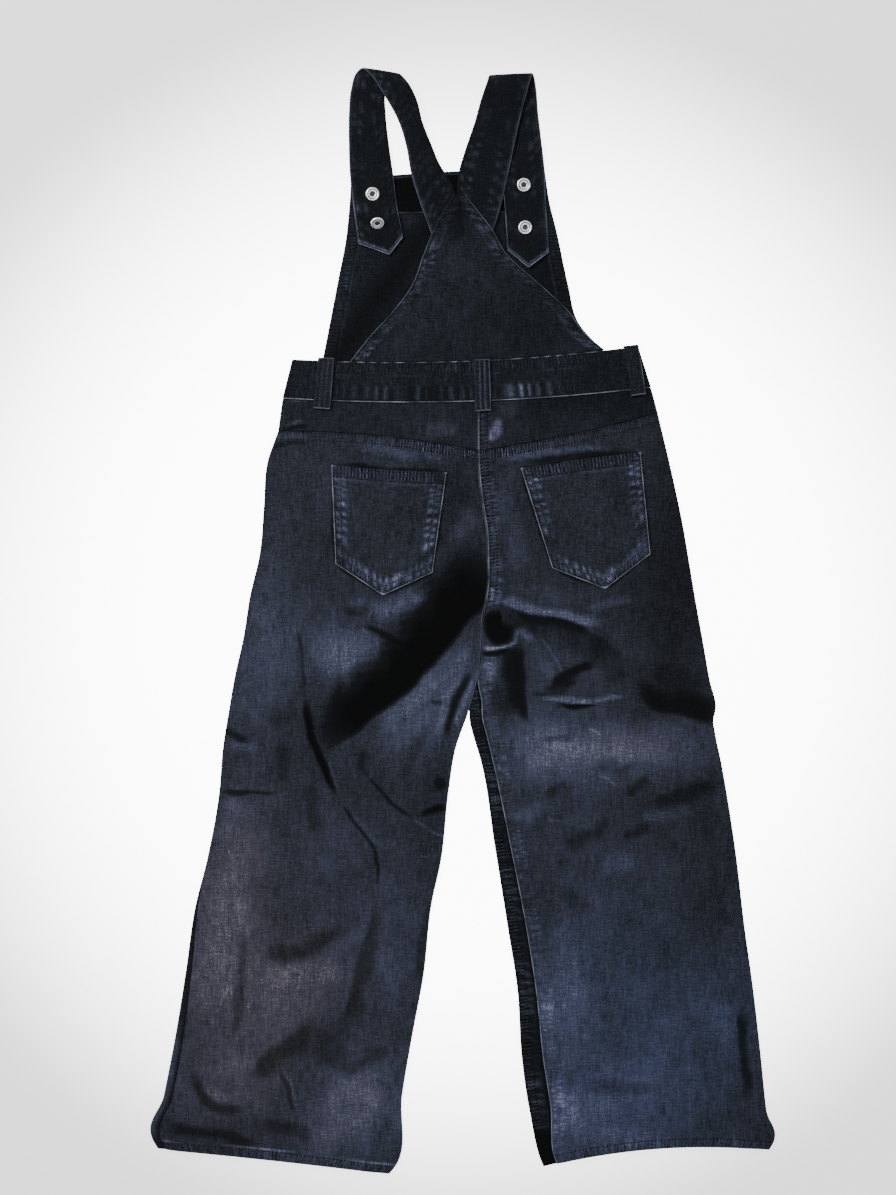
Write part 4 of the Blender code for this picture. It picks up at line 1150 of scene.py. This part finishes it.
# Soft patches of wear: the middle, half sizes and turn in degrees, how much lighter or darker in thousandths,
# and how purple (above 0) or navy (below 0), in thousandths too
PATCHES = table(
    Patch,
    (-178, -30, 34, 66, -10, 190, 200),
    (-104, -34, 34, 30, 40, 170, 0),
    (-34, -82, 34, 46, -40, 300, 0),
    (-122, -215, 52, 56, 0, 80, 100),
    (-206, -222, 32, 60, -10, 270, 900),
    (-226, -310, 38, 80, -8, 320, 1000),
    (-158, -338, 52, 52, 20, 290, 1000),
    (-70, -300, 40, 60, -10, 170, 0),
    (-206, -416, 48, 46, 0, 200, 900),
    (-95, -440, 50, 48, 10, 360, 200),
    (-128, -474, 24, 14, 0, 120, 300),
    (-126, -386, 30, 36, -20, -120, -300),
    (-172, -330, 92, 150, -8, 0, 450),
    (-2, -54, 8, 40, -20, 60, 0),
    (-20, 20, 60, 40, 40, -40, 0),
    (196, 40, 46, 150, -8, -140, 300),
    (118, -34, 50, 32, 0, 100, 0),
    (146, -118, 76, 28, 4, 390, 300),
    (-8, 112, 26, 30, 0, -120, 0),
    (108, 208, 66, 24, 6, -120, 0),
    (72, -114, 34, 30, 0, 290, 0),
    (120, -215, 70, 40, 10, 60, 0),
    (220, -235, 34, 64, -8, -40, 0),
    (165, -350, 90, 96, 0, 130, -900),
    (92, -345, 26, 74, -8, 220, -200),
    (172, -440, 90, 50, 0, 130, -900),
    (104, -460, 40, 34, 0, 230, -300),
    (245, -360, 26, 40, 0, 50, -600),
)
UPPER_PATCHES = table(
    Patch,
    (-12, 320, 30, 26, 20, 50, 0),
    (-4, 382, 7, 22, 8, -160, 0),
    (-42, 290, 30, 30, -40, 40, -300),
    (70, 280, 40, 30, 40, -40, 0),
)


# Which values of a section are its inner end, on each side
INNER = {"left": slice(2, 4), "right": slice(0, 2)}


def leg_rows(side, step, shift=0.0):
    """A leg's sections in plan, with its inner ends on the seam between the legs or clear of it."""
    rows = along_rows(LEGS[side], step)
    rows[:, INNER[side]] = to_middle(rows[:, INNER[side]], side, shift)
    return rows


def to_middle(ends, side, shift=0.0):
    """Inner ends moved to the seam between the legs, or out of its way where the legs part."""
    x, y = ends.T
    half = 0.01 * MM if shift else GAP / 2
    seam = middle_x(y) + shift + (-half if side == "left" else half)
    clear = np.minimum(x, seam) if side == "left" else np.maximum(x, seam)
    return np.stack([np.where(y > LEGS_PART_Y, seam, np.where(y > MIDDLE_Y[0], clear, x)), y], axis=1)


def upright(plan, height):
    return np.dstack([plan, height])


def below(points, wall):
    return points - np.array([0.0, 0.0, wall])


def marked(panel, group, edges, creases=None, seed=0.0, raise_by=0.25, patches=()):
    """All the marks that the denim reads. Puckers rise a little off the cloth."""
    marks, pucker, pale = seam_marks(panel, edges, seed)
    light, left = creases or (0.0, np.ones(pucker.shape))
    tone, warm = patch_tone(panel.points[..., 0], panel.points[..., 1], patches)
    # tone takes the creases' ridge wear with painted highlight; left is how much of the cloth's lightness
    # their painted shade leaves
    marks["tone"] = np.maximum(0.02, TONES[group] + tone + light + pale + 0.8 * pucker)
    marks["left"] = left
    marks["warm"] = warm
    panel.points[..., 2] += raise_by * MM * pucker
    return marks


def back_leg(side):
    sizes = bpy.context.scene.overalls_sizes
    rows = leg_rows(side, sizes.leg_grid)
    left, right = rows[:, 0:2], rows[:, 2:4]
    width = np.linalg.norm(right - left, axis=1)
    lips = np.maximum(rows[:, 4:6], 0.0)
    inset = lips + LIP_CLEAR * np.minimum(lips / GAP, 1.0)
    share = shares(width, sizes.leg_grid)
    share = inset[:, :1] / width[:, None] + share * (1 - inset.sum(axis=1) / width)[:, None]
    plan = bowed(left, right, share, rows[:, 6])
    plan[0, :, 1] -= GAP / 2
    x, y = plan[..., 0], plan[..., 1]
    under, creases = top_layer(x, y)
    panel = Panel(upright(plan, under + CLOTH))
    low = panel.length - panel.along
    inner = panel.away()["right" if side == "left" else "left"]
    above = ramp(y, CROTCH_Y, 6 * MM)
    rise = SEAM_RISE * (1 - ramp(panel.along, SEAM_BAND, 1.5 * MM))
    rise += LEG_HEM_RISE * (1 - ramp(low, LEG_HEM, 0.8 * MM))
    seed = 1.0 if side == "left" else 2.0
    marks = marked(panel, "leg", SEAMS[f"back_leg_{side}"], creases, seed, patches=PATCHES)
    marks["ticks"] *= np.where(panel.along < 14 * MM, 0.3 + 0.9 * bell(x, 0.01, 0.08), 1.0)
    if side == "right":
        rise += CENTRE_RISE * above * (1 - ramp(inner, CENTRE_BAND, 1.5 * MM))
        marks["ticks"] *= np.where(inner < 20 * MM, 0.15 + 0.85 * above, 1.0)
        marks["line"] *= 1 - 0.8 * smoothstep((CROTCH_Y - y) / 0.01) * ramp(y, -0.058, 0.01)
    else:
        below_crotch = (1 - above) * ramp(y, -0.11, 0.03)
        rise += 0.9 * MM * below_crotch * bell(inner, 0.0, 9 * MM)
        lip = bell(low, LEG_HEM + 0.4 * MM, MM)
        marks["tone"] += 0.5 * lip * np.clip(0.6 + np.sin(x / (17 * MM)), 0.0, 1.0)
    panel.points[..., 2] += rise
    lines = stitch_lines(panel, "leg_top", ("top",))
    lines.append(panel.line("bottom", LEG_HEM - 1.2 * MM))
    if side == "right":
        centre = stitch_lines(panel, "centre", ("left",), start=10 * MM)
        lines += [line[line[:, 1] > CROTCH_Y] for line in centre]
    piece = shell(f"leg_back_{side}", panel, below(panel.points, CLOTH), marks, cloth_material())
    sewing = sewn(f"leg_stitches_{side}", lines)
    lay(piece, f"back_leg_{side}", sewing)


def waist_side(side, gap):
    """One side's stretch of the waistband's lower edge, as a section below it."""
    across = WAIST_BOTTOM.right_x - WAIST_BOTTOM.left_x
    split = (middle_x(WAIST_BOTTOM.left_y) - WAIST_BOTTOM.left_x) / across
    ends = (0.0, split) if side == "left" else (split, 1.0)
    return raised(part_of(WAIST_BOTTOM, *ends), -gap)


# Where points go across the strip of a front leg that shows, as shares of it
ON_LIP = np.array([0.0, 0.02, 0.06, 0.14, 0.26, 0.40, 0.55, 0.70, 0.85, 1.0])


def front_leg(side):
    """A front leg, flat on the floor. Where it shows beside the back one, it is as high as that one."""
    waist = waist_side(side, FRONT_DROP + 0.9 * MM)
    rows = np.vstack([[*waist[:4], 0.0, 0.0, waist.bow], leg_rows(side, 3 * MM, FRONT_SHIFT)])
    rows[:1, INNER[side]] = to_middle(rows[:1, INNER[side]], side, FRONT_SHIFT)
    left, right = rows[:, 0:2], rows[:, 2:4]
    width = np.linalg.norm(right - left, axis=1)[:, None]
    lips = np.maximum(rows[:, 4:6], LEAST_LIP)
    lip_left = lips[:, :1] * ON_LIP / width
    lip_right = 1 - lips[:, 1:] * ON_LIP[::-1] / width
    foot = LIP_FOOT / width
    start, stop = lip_left[:, -1:] + foot, lip_right[:, :1] - foot
    share = np.hstack([lip_left, start + (stop - start) * np.linspace(0.0, 1.0, 8), lip_right])
    plan = bowed(left, right, share, rows[:, 6])
    top = np.full(share.shape, CLOTH)
    rise = LAYER * ramp(lips, LEAST_LIP, 2 * MM)
    top[:, : len(ON_LIP)] += rise[:, :1]
    top[:, -len(ON_LIP) :] += rise[:, 1:]
    panel = Panel(upright(plan, top))
    marks = marked(panel, "strip", SEAMS[f"front_leg_{side}"], seed=13.0, raise_by=0.0)
    down = -plan[..., 1]
    if side == "left":
        faded = ramp(down, 0.34, 0.06) * (1 - ramp(down, 0.462, 0.02))
        marks["tone"] += 0.30 * faded * (1 - ramp(panel.across, 2.5 * MM, 5 * MM))
    else:
        strip = 1 - ramp(panel.across, 14 * MM, 5 * MM)
        marks["left"] = 1 - 0.75 * strip * ramp(down, 0.463, 0.006)
    bottom = panel.points.copy()
    bottom[..., 2] = 0.0
    piece = shell(f"leg_front_{side}", panel, bottom, marks, cloth_material())
    sewing = None
    if side == "right":
        lines = stitch_lines(panel, "inseam", ("left",))
        sewing = sewn("inseam_stitches_right", [line[line[:, 1] < -0.09] for line in lines])
    lay(piece, f"front_leg_{side}", sewing)


def waistband_top(x, y):
    under, creases = top_layer(x, y)
    return under + 2 * WAISTBAND_WALL - CLOTH, creases


def waistband_plan(step, drop=0.0):
    return section_plan(along_rows([raised(WAIST_TOP, -drop), raised(WAIST_BOTTOM, -drop)], step), step)


def front_waistband():
    plan = waistband_plan(6 * MM, FRONT_DROP)
    panel = Panel(upright(plan, np.full(plan.shape[:2], WAISTBAND_WALL)))
    marks = marked(panel, "waist", {})
    inner = below(panel.points, WAISTBAND_WALL)
    piece = shell("waistband_front", panel, inner, marks, cloth_material(grain=2.0))
    lay(piece, "front_waistband")


def back_waistband():
    """The back waistband. Its puckers are strongest in two stretches, and its worn edges are broken."""
    plan = waistband_plan(bpy.context.scene.overalls_sizes.fine_grid)
    panel = Panel(upright(plan, waistband_top(plan[..., 0], plan[..., 1])[0]))
    across = panel.along / panel.length
    panel.points[..., 2] += WAISTBAND_ARCH * (np.sin(math.pi * across) ** 2 - 1)
    marks = marked(panel, "waist", SEAMS["waistband"], seed=3.0)
    x = panel.points[..., 0]
    busy = np.minimum(0.12 + 0.88 * bell(x, -0.035, 0.055) + 0.8 * bell(x, 0.062, 0.03), 1.0)
    marks["tone"] = TONES["waist"] + (marks["tone"] - TONES["waist"]) * busy
    marks["tone"] += 0.10 * bell(x, 0.048, 0.022) * ramp(across, 0.5, 0.2)
    needle_row = bell(panel.along, 13 * MM, 0.9 * MM)
    marks["tone"] += 0.09 * needle_row * np.clip(0.5 + np.sin(x / (11 * MM)), 0.0, 1.0)
    broken = np.clip(0.55 + 0.9 * np.sin(x / (2.3 * MM) + 2 * np.sin(x / (13 * MM))), 0.1, 1.3)
    marks["line"] *= np.where(across < 0.5, broken, 0.75 + 0.35 * np.sin(x / (15 * MM)))
    inner = below(panel.points, WAISTBAND_WALL - WAISTBAND_ARCH)
    piece = shell("waistband_back", panel, inner, marks, cloth_material(grain=2.0))
    sewing = sewn("waistband_stitches", stitch_lines(panel, "waistband", ("top", "bottom")))
    lay(piece, "back_waistband", sewing)


def yoke(side):
    step = bpy.context.scene.overalls_sizes.fine_grid
    leg = LEGS[side][0]
    foot = raised(Section(*leg[:4], leg.bow), GAP / 2)
    rows = along_rows([waist_side(side, GAP), foot], step)
    rows[:, INNER[side]] = to_middle(rows[:, INNER[side]], side)
    plan = section_plan(rows, step)
    under, creases = top_layer(plan[..., 0], plan[..., 1])
    panel = Panel(upright(plan, under + CLOTH))
    marks = marked(panel, "yoke", SEAMS[f"yoke_{side}"], creases, seed=4.0, patches=PATCHES)
    sewing = None
    if side == "right":
        inner = panel.away()["left"]
        panel.points[..., 2] += CENTRE_RISE * (1 - ramp(inner, CENTRE_BAND, 1.5 * MM))
    piece = shell(f"back_yoke_{side}", panel, below(panel.points, CLOTH), marks, cloth_material(grain=12.0))
    if side == "right":
        sewing = sewn("yoke_stitches_right", stitch_lines(panel, "centre", ("left",)))
    lay(piece, f"yoke_{side}", sewing)


def bib():
    """The bib's inside, with painted shadow beside the upper panel's raised edge, darker on its right below
    the straps, and its side hems.
    """
    step = bpy.context.scene.overalls_sizes.fine_grid * 1.4
    foot = raised(part_of(WAIST_TOP, *BIB_FOOT), GAP - FRONT_DROP)
    plan = section_plan(along_rows([*BIB, foot], step), step)
    panel = Panel(upright(plan, bib_lift(plan[..., 1]) + CLOTH))
    side = np.minimum(panel.across, panel.width - panel.across)
    panel.points[..., 2] += LAYER * (1 - ramp(side, SIDE_HEM, 1.2 * MM))
    marks = marked(panel, "bib", SEAMS["bib"], seed=5.0)
    marks["tone"] += 0.16 * bell(side, SIDE_HEM + 0.6 * MM, 1.1 * MM)
    x, y = panel.points[..., 0], panel.points[..., 1]
    # painted shadow: a dark band along the upper panel's raised left edge; the bib is also darker on its
    # right below the straps
    shadow_offset = 0.815 * (x + 0.039) - 0.579 * (y - 0.351)
    marks["tone"] -= 0.17 * bell(shadow_offset, 0.0, 0.012) * smoothstep((0.385 - y) / 0.03)
    marks["tone"] -= 0.11 * ramp(x, 0.055, 0.02) * smoothstep((0.350 - y) / 0.03)
    inner = panel.points.copy()
    inner[..., 2] = bib_lift(inner[..., 1])
    piece = shell("bib_front", panel, inner, marks, cloth_material())
    sewing = sewn("bib_stitches", stitch_lines(panel, "bib", ("left", "right")))
    lay(piece, "bib", sewing)


def facing():
    step = bpy.context.scene.overalls_sizes.fine_grid * 1.4
    plan = section_plan(along_rows(FACING, step), step)
    panel = Panel(upright(plan, bib_lift(plan[..., 1]) + LAYER + CLOTH))
    marks = marked(panel, "facing", SEAMS["facing"], seed=6.0)
    piece = shell("bib_top_facing", panel, below(panel.points, CLOTH), marks, cloth_material())
    sewing = sewn("facing_stitches", stitch_lines(panel, "facing", ("bottom",)))
    lay(piece, "bib_facing", sewing)


def back_upper():
    """The triangle between the waistband and the straps, whose seams fade towards its apex."""
    step = bpy.context.scene.overalls_sizes.fine_grid
    foot = raised(part_of(WAIST_TOP, *UPPER_FOOT), GAP)
    rows = along_rows([*BACK_UPPER, UpperSection(*foot, UPPER_FOOT_UP)], step)
    plan = section_plan(rows, step)
    panel = Panel(upright(plan, rows[:, 5:6] + CLOTH + np.zeros(plan.shape[:2])))
    marks = marked(panel, "upper", SEAMS["upper"], seed=7.0, patches=UPPER_PATCHES)
    apex = (1 - ramp(panel.along, 0.034, 0.014)) * (panel.across < 0.5 * panel.width)
    marks["line"] *= 1 - 0.9 * apex
    marks["tone"] -= apex * (0.06 + 0.8 * np.maximum(marks["tone"] - TONES["upper"], 0.0))
    side = np.minimum(panel.across, panel.width - panel.across)
    second_line = bell(side, 11.5 * MM, 1.1 * MM) * ramp(panel.along, 0.02, 0.03)
    marks["tone"] += 0.15 * second_line * np.clip(0.6 + np.sin(panel.along / (19 * MM)), 0.0, 1.0)
    panel.points[..., 2] += UPPER_RISE * (1 - ramp(side, UPPER_BAND, 1.5 * MM))
    piece = shell("back_upper_panel", panel, below(panel.points, CLOTH), marks, cloth_material(grain=8.0))
    sewing = sewn("upper_stitches", stitch_lines(panel, "upper", ("left", "right")))
    lay(piece, "back_upper", sewing)


def strap(side):
    """A shoulder strap, folded over at its top. Its pointed end lies on the bib."""
    step = bpy.context.scene.overalls_sizes.fine_grid * 1.3
    rows = along_rows(STRAPS[side], step)
    left, right = rows[:, 0:3], rows[:, 3:6]
    share = shares(np.linalg.norm(right - left, axis=1), step)
    middle = left[:, None] + (right - left)[:, None] * share[..., None]
    middle[..., 2] += 4 * share * (1 - share) * rows[:, 6:7]
    tip = STRAP_TIPS[side]
    run = run_along(middle[:, middle.shape[1] // 2])
    fade = smoothstep(1 - run / STRAP_TIP_REACH)
    middle[..., 1] -= tip.reach * tent(share, tip.place) * fade[:, None]
    normal = np.cross(np.gradient(middle, axis=0), np.gradient(middle, axis=1))
    normal /= np.linalg.norm(normal, axis=2)[..., None] + 1e-12
    if normal[:10, :, 2].mean() < 0:
        normal = -normal
    panel = Panel(middle + normal * STRAP_WALL / 2)
    seed = 8.0 if side == "left" else 9.0
    marks = marked(panel, "strap", SEAMS["strap"], seed=seed, raise_by=0.15)
    hidden = panel.across > panel.width / 2 if side == "left" else panel.across < panel.width / 2
    marks["line"] *= np.where(hidden, 1 - ramp(panel.along, 0.06, 0.02), 1.0)
    marks["tone"] += 0.50 * bell(panel.along, 2.8 * MM, 1.3 * MM)
    worn_edge = panel.across if side == "left" else panel.width - panel.across
    marks["tone"] += 0.26 * bell(worn_edge, 1.4 * MM, 1.3 * MM)
    inner = middle - normal * STRAP_WALL / 2
    piece = shell(f"shoulder_strap_{side}", panel, inner, marks, cloth_material(grain=4.0))
    sewing = sewn(f"strap_stitches_{side}", stitch_lines(panel, "strap", ("left", "right"), start=6 * MM))
    lay(piece, f"strap_{side}", sewing)


def pocket(side):
    """A patch pocket with a pointed bottom. Its corners and its point are worn through."""
    step = bpy.context.scene.overalls_sizes.fine_grid
    rows = along_rows(POCKETS[side], step)
    width = np.linalg.norm(rows[:, 2:4] - rows[:, 0:2], axis=1)
    share = shares(width, step)
    place = POCKET_TIPS[side]
    plan = rows[:, None, 0:2] + (rows[:, 2:4] - rows[:, 0:2])[:, None] * share[..., None]
    plan[..., 1] += tent(share, place) * rows[:, 4:5]
    under = top_layer(plan[..., 0], plan[..., 1])[0]
    panel = Panel(upright(plan, under + LAYER + CLOTH + 0.1 * MM))
    marks = marked(panel, "pocket", SEAMS["pocket"], seed=10.0 if side == "left" else 11.0)
    lip = bell(panel.along, POCKET_HEM + 0.5 * MM, 1.1 * MM)
    marks["tone"] += 0.30 * lip * (0.6 + 0.4 * np.sin(panel.across / (9 * MM)))
    tip = share - place
    low = panel.length - panel.along
    marks["tone"] += 0.26 * bell(tip, 0.06, 0.24) * bell(low, 9.5 * MM, 3.8 * MM)
    corners = (
        (panel.along, panel.across),
        (panel.along, panel.width - panel.across),
        (low, tip * width[:, None]),
    )
    for down, aside in corners:
        marks["tone"] += 1.4 * bell(down, 0.0, 1.9 * MM) * bell(aside, 0.0, 2.3 * MM)
    panel.points[..., 2] += POCKET_HEM_RISE * (1 - ramp(panel.along, POCKET_HEM, 0.8 * MM))
    piece = shell(f"patch_pocket_{side}", panel, below(panel.points, CLOTH), marks, cloth_material(grain=3.0))
    lines = [panel.line("top", offset) for offset in (2 * MM, POCKET_HEM - 1.5 * MM)]
    for edge, start in (("left", 2 * MM), ("right", 2 * MM), ("bottom", None)):
        for row in STITCH_ROWS["pocket"]:
            lines.append(panel.line(edge, row, start=row if start is None else start, stop=row))
    sewing = sewn(f"pocket_stitches_{side}", lines)
    lay(piece, f"pocket_{side}", sewing)


# How strong the worn stripes along each belt loop are
LOOP_WEAR = {"left": 0.07, "centre": 0.16, "right": 0.02}


def belt_loop(place):
    step = 0.8 * MM
    plan = section_plan(along_rows(BELT_LOOPS[place], step), step)
    along = np.linspace(0.0, 1.0, len(plan))
    arch = 4 * along * (1 - along) * MM
    top = waistband_top(plan[..., 0], plan[..., 1])[0].max(axis=1) + GAP + arch + LOOP_WALL
    panel = Panel(upright(plan, np.tile(top[:, None], (1, plan.shape[1]))))
    marks = marked(panel, "loop", SEAMS["loop"], seed=12.0)
    marks["tone"] += LOOP_WEAR[place] * (0.4 + np.cos(6 * math.pi * panel.across / panel.width))
    piece = shell(f"loop_{place}", panel, below(panel.points, LOOP_WALL), marks, cloth_material(grain=2.0))
    lines = stitch_lines(panel, "loop", ("left", "right"), start=1.5 * MM, stop=1.5 * MM)
    sewing = sewn(f"loop_stitches_{place}", lines)
    lay(piece, f"belt_loop_{place}", sewing)


# The back of a tack button, from its rim inwards: each step's inset and rise, in millimetres
BACK_STEPS = (
    (0.0, 0.6), (0.25, 0.45), (0.35, 0.25), (0.5, 0.05), (0.5, -0.05), (0.25, -0.25), (0.3, 0.0),
    (0.25, 0.25), (0.7, 0.05), (0.6, -0.15), (0.3, -0.7), (0.35, 0.0), (0.35, 0.3),
)
# Its darkened rings, in its hole and its groove, from and to a distance from the middle, and the steps of the
# front
DARK_RINGS = ((0.0, 2.2), (3.95, 4.65))
FRONT_STEPS = ((0.0, 0.5), (0.0, 0.7), (0.3, 0.3), (0.6, 0.2))


def stepped_disc(name, radius, steps, materials, dark=()):
    """A round piece, worked from a disc by extrusions and insets. Dark rings have its second material."""
    bpy.ops.object.select_all(action="DESELECT")
    bpy.ops.mesh.primitive_circle_add(vertices=40, radius=radius, fill_type="NGON", location=(0, 0, 0))
    piece = bpy.context.active_object
    piece.name = name
    bpy.ops.object.mode_set(mode="EDIT")
    bpy.ops.mesh.select_all(action="SELECT")
    for inset, rise in steps:
        if inset:
            bpy.ops.mesh.inset(thickness=inset * MM, depth=0.0)
            bpy.ops.transform.translate(value=(0.0, 0.0, rise * MM))
        else:
            bpy.ops.mesh.extrude_region_move(TRANSFORM_OT_translate={"value": (0.0, 0.0, rise * MM)})
    bpy.ops.mesh.select_all(action="SELECT")
    bpy.ops.mesh.normals_make_consistent(inside=False)
    bpy.ops.object.mode_set(mode="OBJECT")
    for material in materials:
        piece.data.materials.append(material)
    for face in piece.data.polygons:
        away = math.hypot(*face.center[:2])
        face.material_index = int(any(low * MM <= away < high * MM for low, high in dark))
    bpy.ops.object.shade_smooth_by_angle(angle=math.radians(40))
    return piece


def set_down(piece, location, tilt=0.0, turn=0.0):
    """Turns and moves a finished piece, and leaves its object at the origin."""
    piece.rotation_euler = (math.radians(tilt), 0.0, math.radians(turn))
    piece.location = location
    bpy.ops.object.select_all(action="DESELECT")
    piece.select_set(True)
    bpy.context.view_layer.objects.active = piece
    bpy.ops.object.transform_apply(location=True, rotation=True, scale=True)


def buttons():
    steel = steel_material("button steel", colours()["steel"])
    # The hole and the groove of each button's back are darkened with a much darker steel.
    darkened = steel_material("stained steel", lit(colours()["steel"], 0.06))
    for button in BUTTONS:
        node = f"button_back_{button.name}"
        low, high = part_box(node)
        radius = (high.x - low.x) / 2
        disc = stepped_disc(f"tack_back_{button.name}", radius, BACK_STEPS, (steel, darkened), DARK_RINGS)
        set_down(disc, (button.x, button.y, BUTTON_BASE - button.sink), button.tilt, button.turn)
        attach(disc, BODY)
        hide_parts(node)
        node = f"button_front_{button.name}"
        low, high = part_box(node)
        cap = stepped_disc(f"tack_front_{button.name}", (high.x - low.x) / 2, FRONT_STEPS, (steel,))
        set_down(cap, (button.x, button.y, high.z), 180.0)
        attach(cap, BODY)
        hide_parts(node)


FLOOR_SIZE = 6.0
FLOOR_DROP = 0.0002
# painted light: the floor glows of itself, so that it reads as brightly lit
FLOOR_GLOW = 10.0
SKY_STRENGTH = 1.1
LIGHTS = (
    Light("key", (-1.3, 1.2, 1.6), 1.1, 120.0),
    Light("fill", (0.9, -0.6, 2.4), 2.4, 36.0),
)
PHOTO_MIDDLE = (-0.0138, 0.0221)
PHOTO_HEIGHT = 1.0994
LENS = 85.0
SENSOR = 36.0


def stage():
    """A pale floor that glows of itself, with painted shade that darkens it away from the middle, a soft
    light from the upper left, and the camera straight above.
    """
    shader = Shader("pale floor")
    colour = colours()["floor"]
    place = shader.node("ShaderNodeTexCoord", output="Object")
    speckle = shader.noise(shader.stretched(place, (30.0, 30.0, 30.0)), 2.0)
    tint = shader.blend(shader.between(speckle, -0.4, 0.4), lit(colour, 0.99), colour)
    # painted shade: the floor grows darker away from the middle, where the light falls off
    far = shader.node("ShaderNodeVectorMath", place, operation="LENGTH", output="Value")
    tint = shader.blend(shader.between(far, 0.26, 0.60), tint, lit(colour, 0.17))
    # painted light: the floor's own glow
    shader.set(shader.surface.inputs["Emission Color"], tint)
    shader.surface.inputs["Emission Strength"].default_value = FLOOR_GLOW
    bpy.ops.object.select_all(action="DESELECT")
    bpy.ops.mesh.primitive_plane_add(size=FLOOR_SIZE, location=(0.0, 0.0, -FLOOR_DROP))
    floor = bpy.context.active_object
    floor.name = "floor"
    floor.data.materials.append(shader.finish(tint, 0.9))

    for lamp in LIGHTS:
        data = bpy.data.lights.new(lamp.name, "AREA")
        data.size = lamp.size
        data.energy = lamp.energy
        light = bpy.data.objects.new(lamp.name, data)
        bpy.context.scene.collection.objects.link(light)
        light.location = lamp.location
        light.rotation_euler = light.location.normalized().to_track_quat("Z", "Y").to_euler()
    world = bpy.data.worlds.new("soft sky")
    world.use_nodes = True
    sky = world.node_tree.nodes["Background"]
    sky.inputs["Color"].default_value = (1.0, 1.0, 1.0, 1.0)
    sky.inputs["Strength"].default_value = SKY_STRENGTH
    bpy.context.scene.world = world

    camera_data = bpy.data.cameras.new("camera")
    camera_data.lens = LENS
    camera_data.sensor_width = SENSOR
    camera = bpy.data.objects.new("camera", camera_data)
    bpy.context.scene.collection.objects.link(camera)
    camera.location = (*PHOTO_MIDDLE, PHOTO_HEIGHT * LENS / SENSOR)
    bpy.context.scene.camera = camera


class OVERALLS_OT_legs(bpy.types.Operator):
    """Front and back leg panels with their hems and seam stitches"""

    bl_idname = "overalls.legs"
    bl_label = "Legs"

    def execute(self, context):
        for side in ("left", "right"):
            front_leg(side)
            back_leg(side)
        return {"FINISHED"}


class OVERALLS_OT_waist(bpy.types.Operator):
    """Yokes, waistbands and belt loops"""

    bl_idname = "overalls.waist"
    bl_label = "Waist"

    def execute(self, context):
        for side in ("left", "right"):
            yoke(side)
        front_waistband()
        back_waistband()
        for place in BELT_LOOPS:
            belt_loop(place)
        return {"FINISHED"}


class OVERALLS_OT_pockets(bpy.types.Operator):
    """Patch pockets with their stitches"""

    bl_idname = "overalls.pockets"
    bl_label = "Pockets"

    def execute(self, context):
        for side in ("left", "right"):
            pocket(side)
        return {"FINISHED"}


class OVERALLS_OT_bib(bpy.types.Operator):
    """The bib, its facing, and the upper panel of the back"""

    bl_idname = "overalls.bib"
    bl_label = "Bib and upper back"

    def execute(self, context):
        bib()
        facing()
        back_upper()
        return {"FINISHED"}


class OVERALLS_OT_straps(bpy.types.Operator):
    """Shoulder straps, folded over at the top"""

    bl_idname = "overalls.straps"
    bl_label = "Straps"

    def execute(self, context):
        for side in ("left", "right"):
            strap(side)
        return {"FINISHED"}


class OVERALLS_OT_buttons(bpy.types.Operator):
    """Tack buttons, back and front"""

    bl_idname = "overalls.buttons"
    bl_label = "Buttons"

    def execute(self, context):
        buttons()
        return {"FINISHED"}


class OVERALLS_OT_stage(bpy.types.Operator):
    """Floor, lights and camera"""

    bl_idname = "overalls.stage"
    bl_label = "Stage"

    def execute(self, context):
        stage()
        return {"FINISHED"}


class OVERALLS_PT_panel(bpy.types.Panel):
    """Lists the pieces in the sidebar"""

    bl_idname = "OVERALLS_PT_panel"
    bl_label = "Overalls"
    bl_space_type = "VIEW_3D"
    bl_region_type = "UI"
    bl_category = "Overalls"

    def draw(self, context):
        column = self.layout.column()
        for name in ("leg_grid", "fine_grid", "stitch", "stitch_gap", "thread"):
            column.prop(context.scene.overalls_sizes, name)
        for name in COLOUR_NAMES:
            column.prop(context.scene.overalls_colours, name)
        for operator in OPERATORS:
            column.operator(operator.bl_idname)


OPERATORS = (
    OVERALLS_OT_legs,
    OVERALLS_OT_waist,
    OVERALLS_OT_pockets,
    OVERALLS_OT_bib,
    OVERALLS_OT_straps,
    OVERALLS_OT_buttons,
    OVERALLS_OT_stage,
)
CLASSES = (OverallsSizes, OverallsColours, *OPERATORS, OVERALLS_PT_panel)


def register():
    for kind in CLASSES:
        bpy.utils.register_class(kind)
    bpy.types.Scene.overalls_sizes = bpy.props.PointerProperty(type=OverallsSizes)
    bpy.types.Scene.overalls_colours = bpy.props.PointerProperty(type=OverallsColours)


def unregister():
    del bpy.types.Scene.overalls_colours
    del bpy.types.Scene.overalls_sizes
    for kind in reversed(CLASSES):
        bpy.utils.unregister_class(kind)


def main():
    register()
    bpy.ops.overalls.legs()
    bpy.ops.overalls.waist()
    bpy.ops.overalls.pockets()
    bpy.ops.overalls.bib()
    bpy.ops.overalls.straps()
    bpy.ops.overalls.buttons()
    bpy.ops.overalls.stage()


if __name__ == "__main__":
    main()
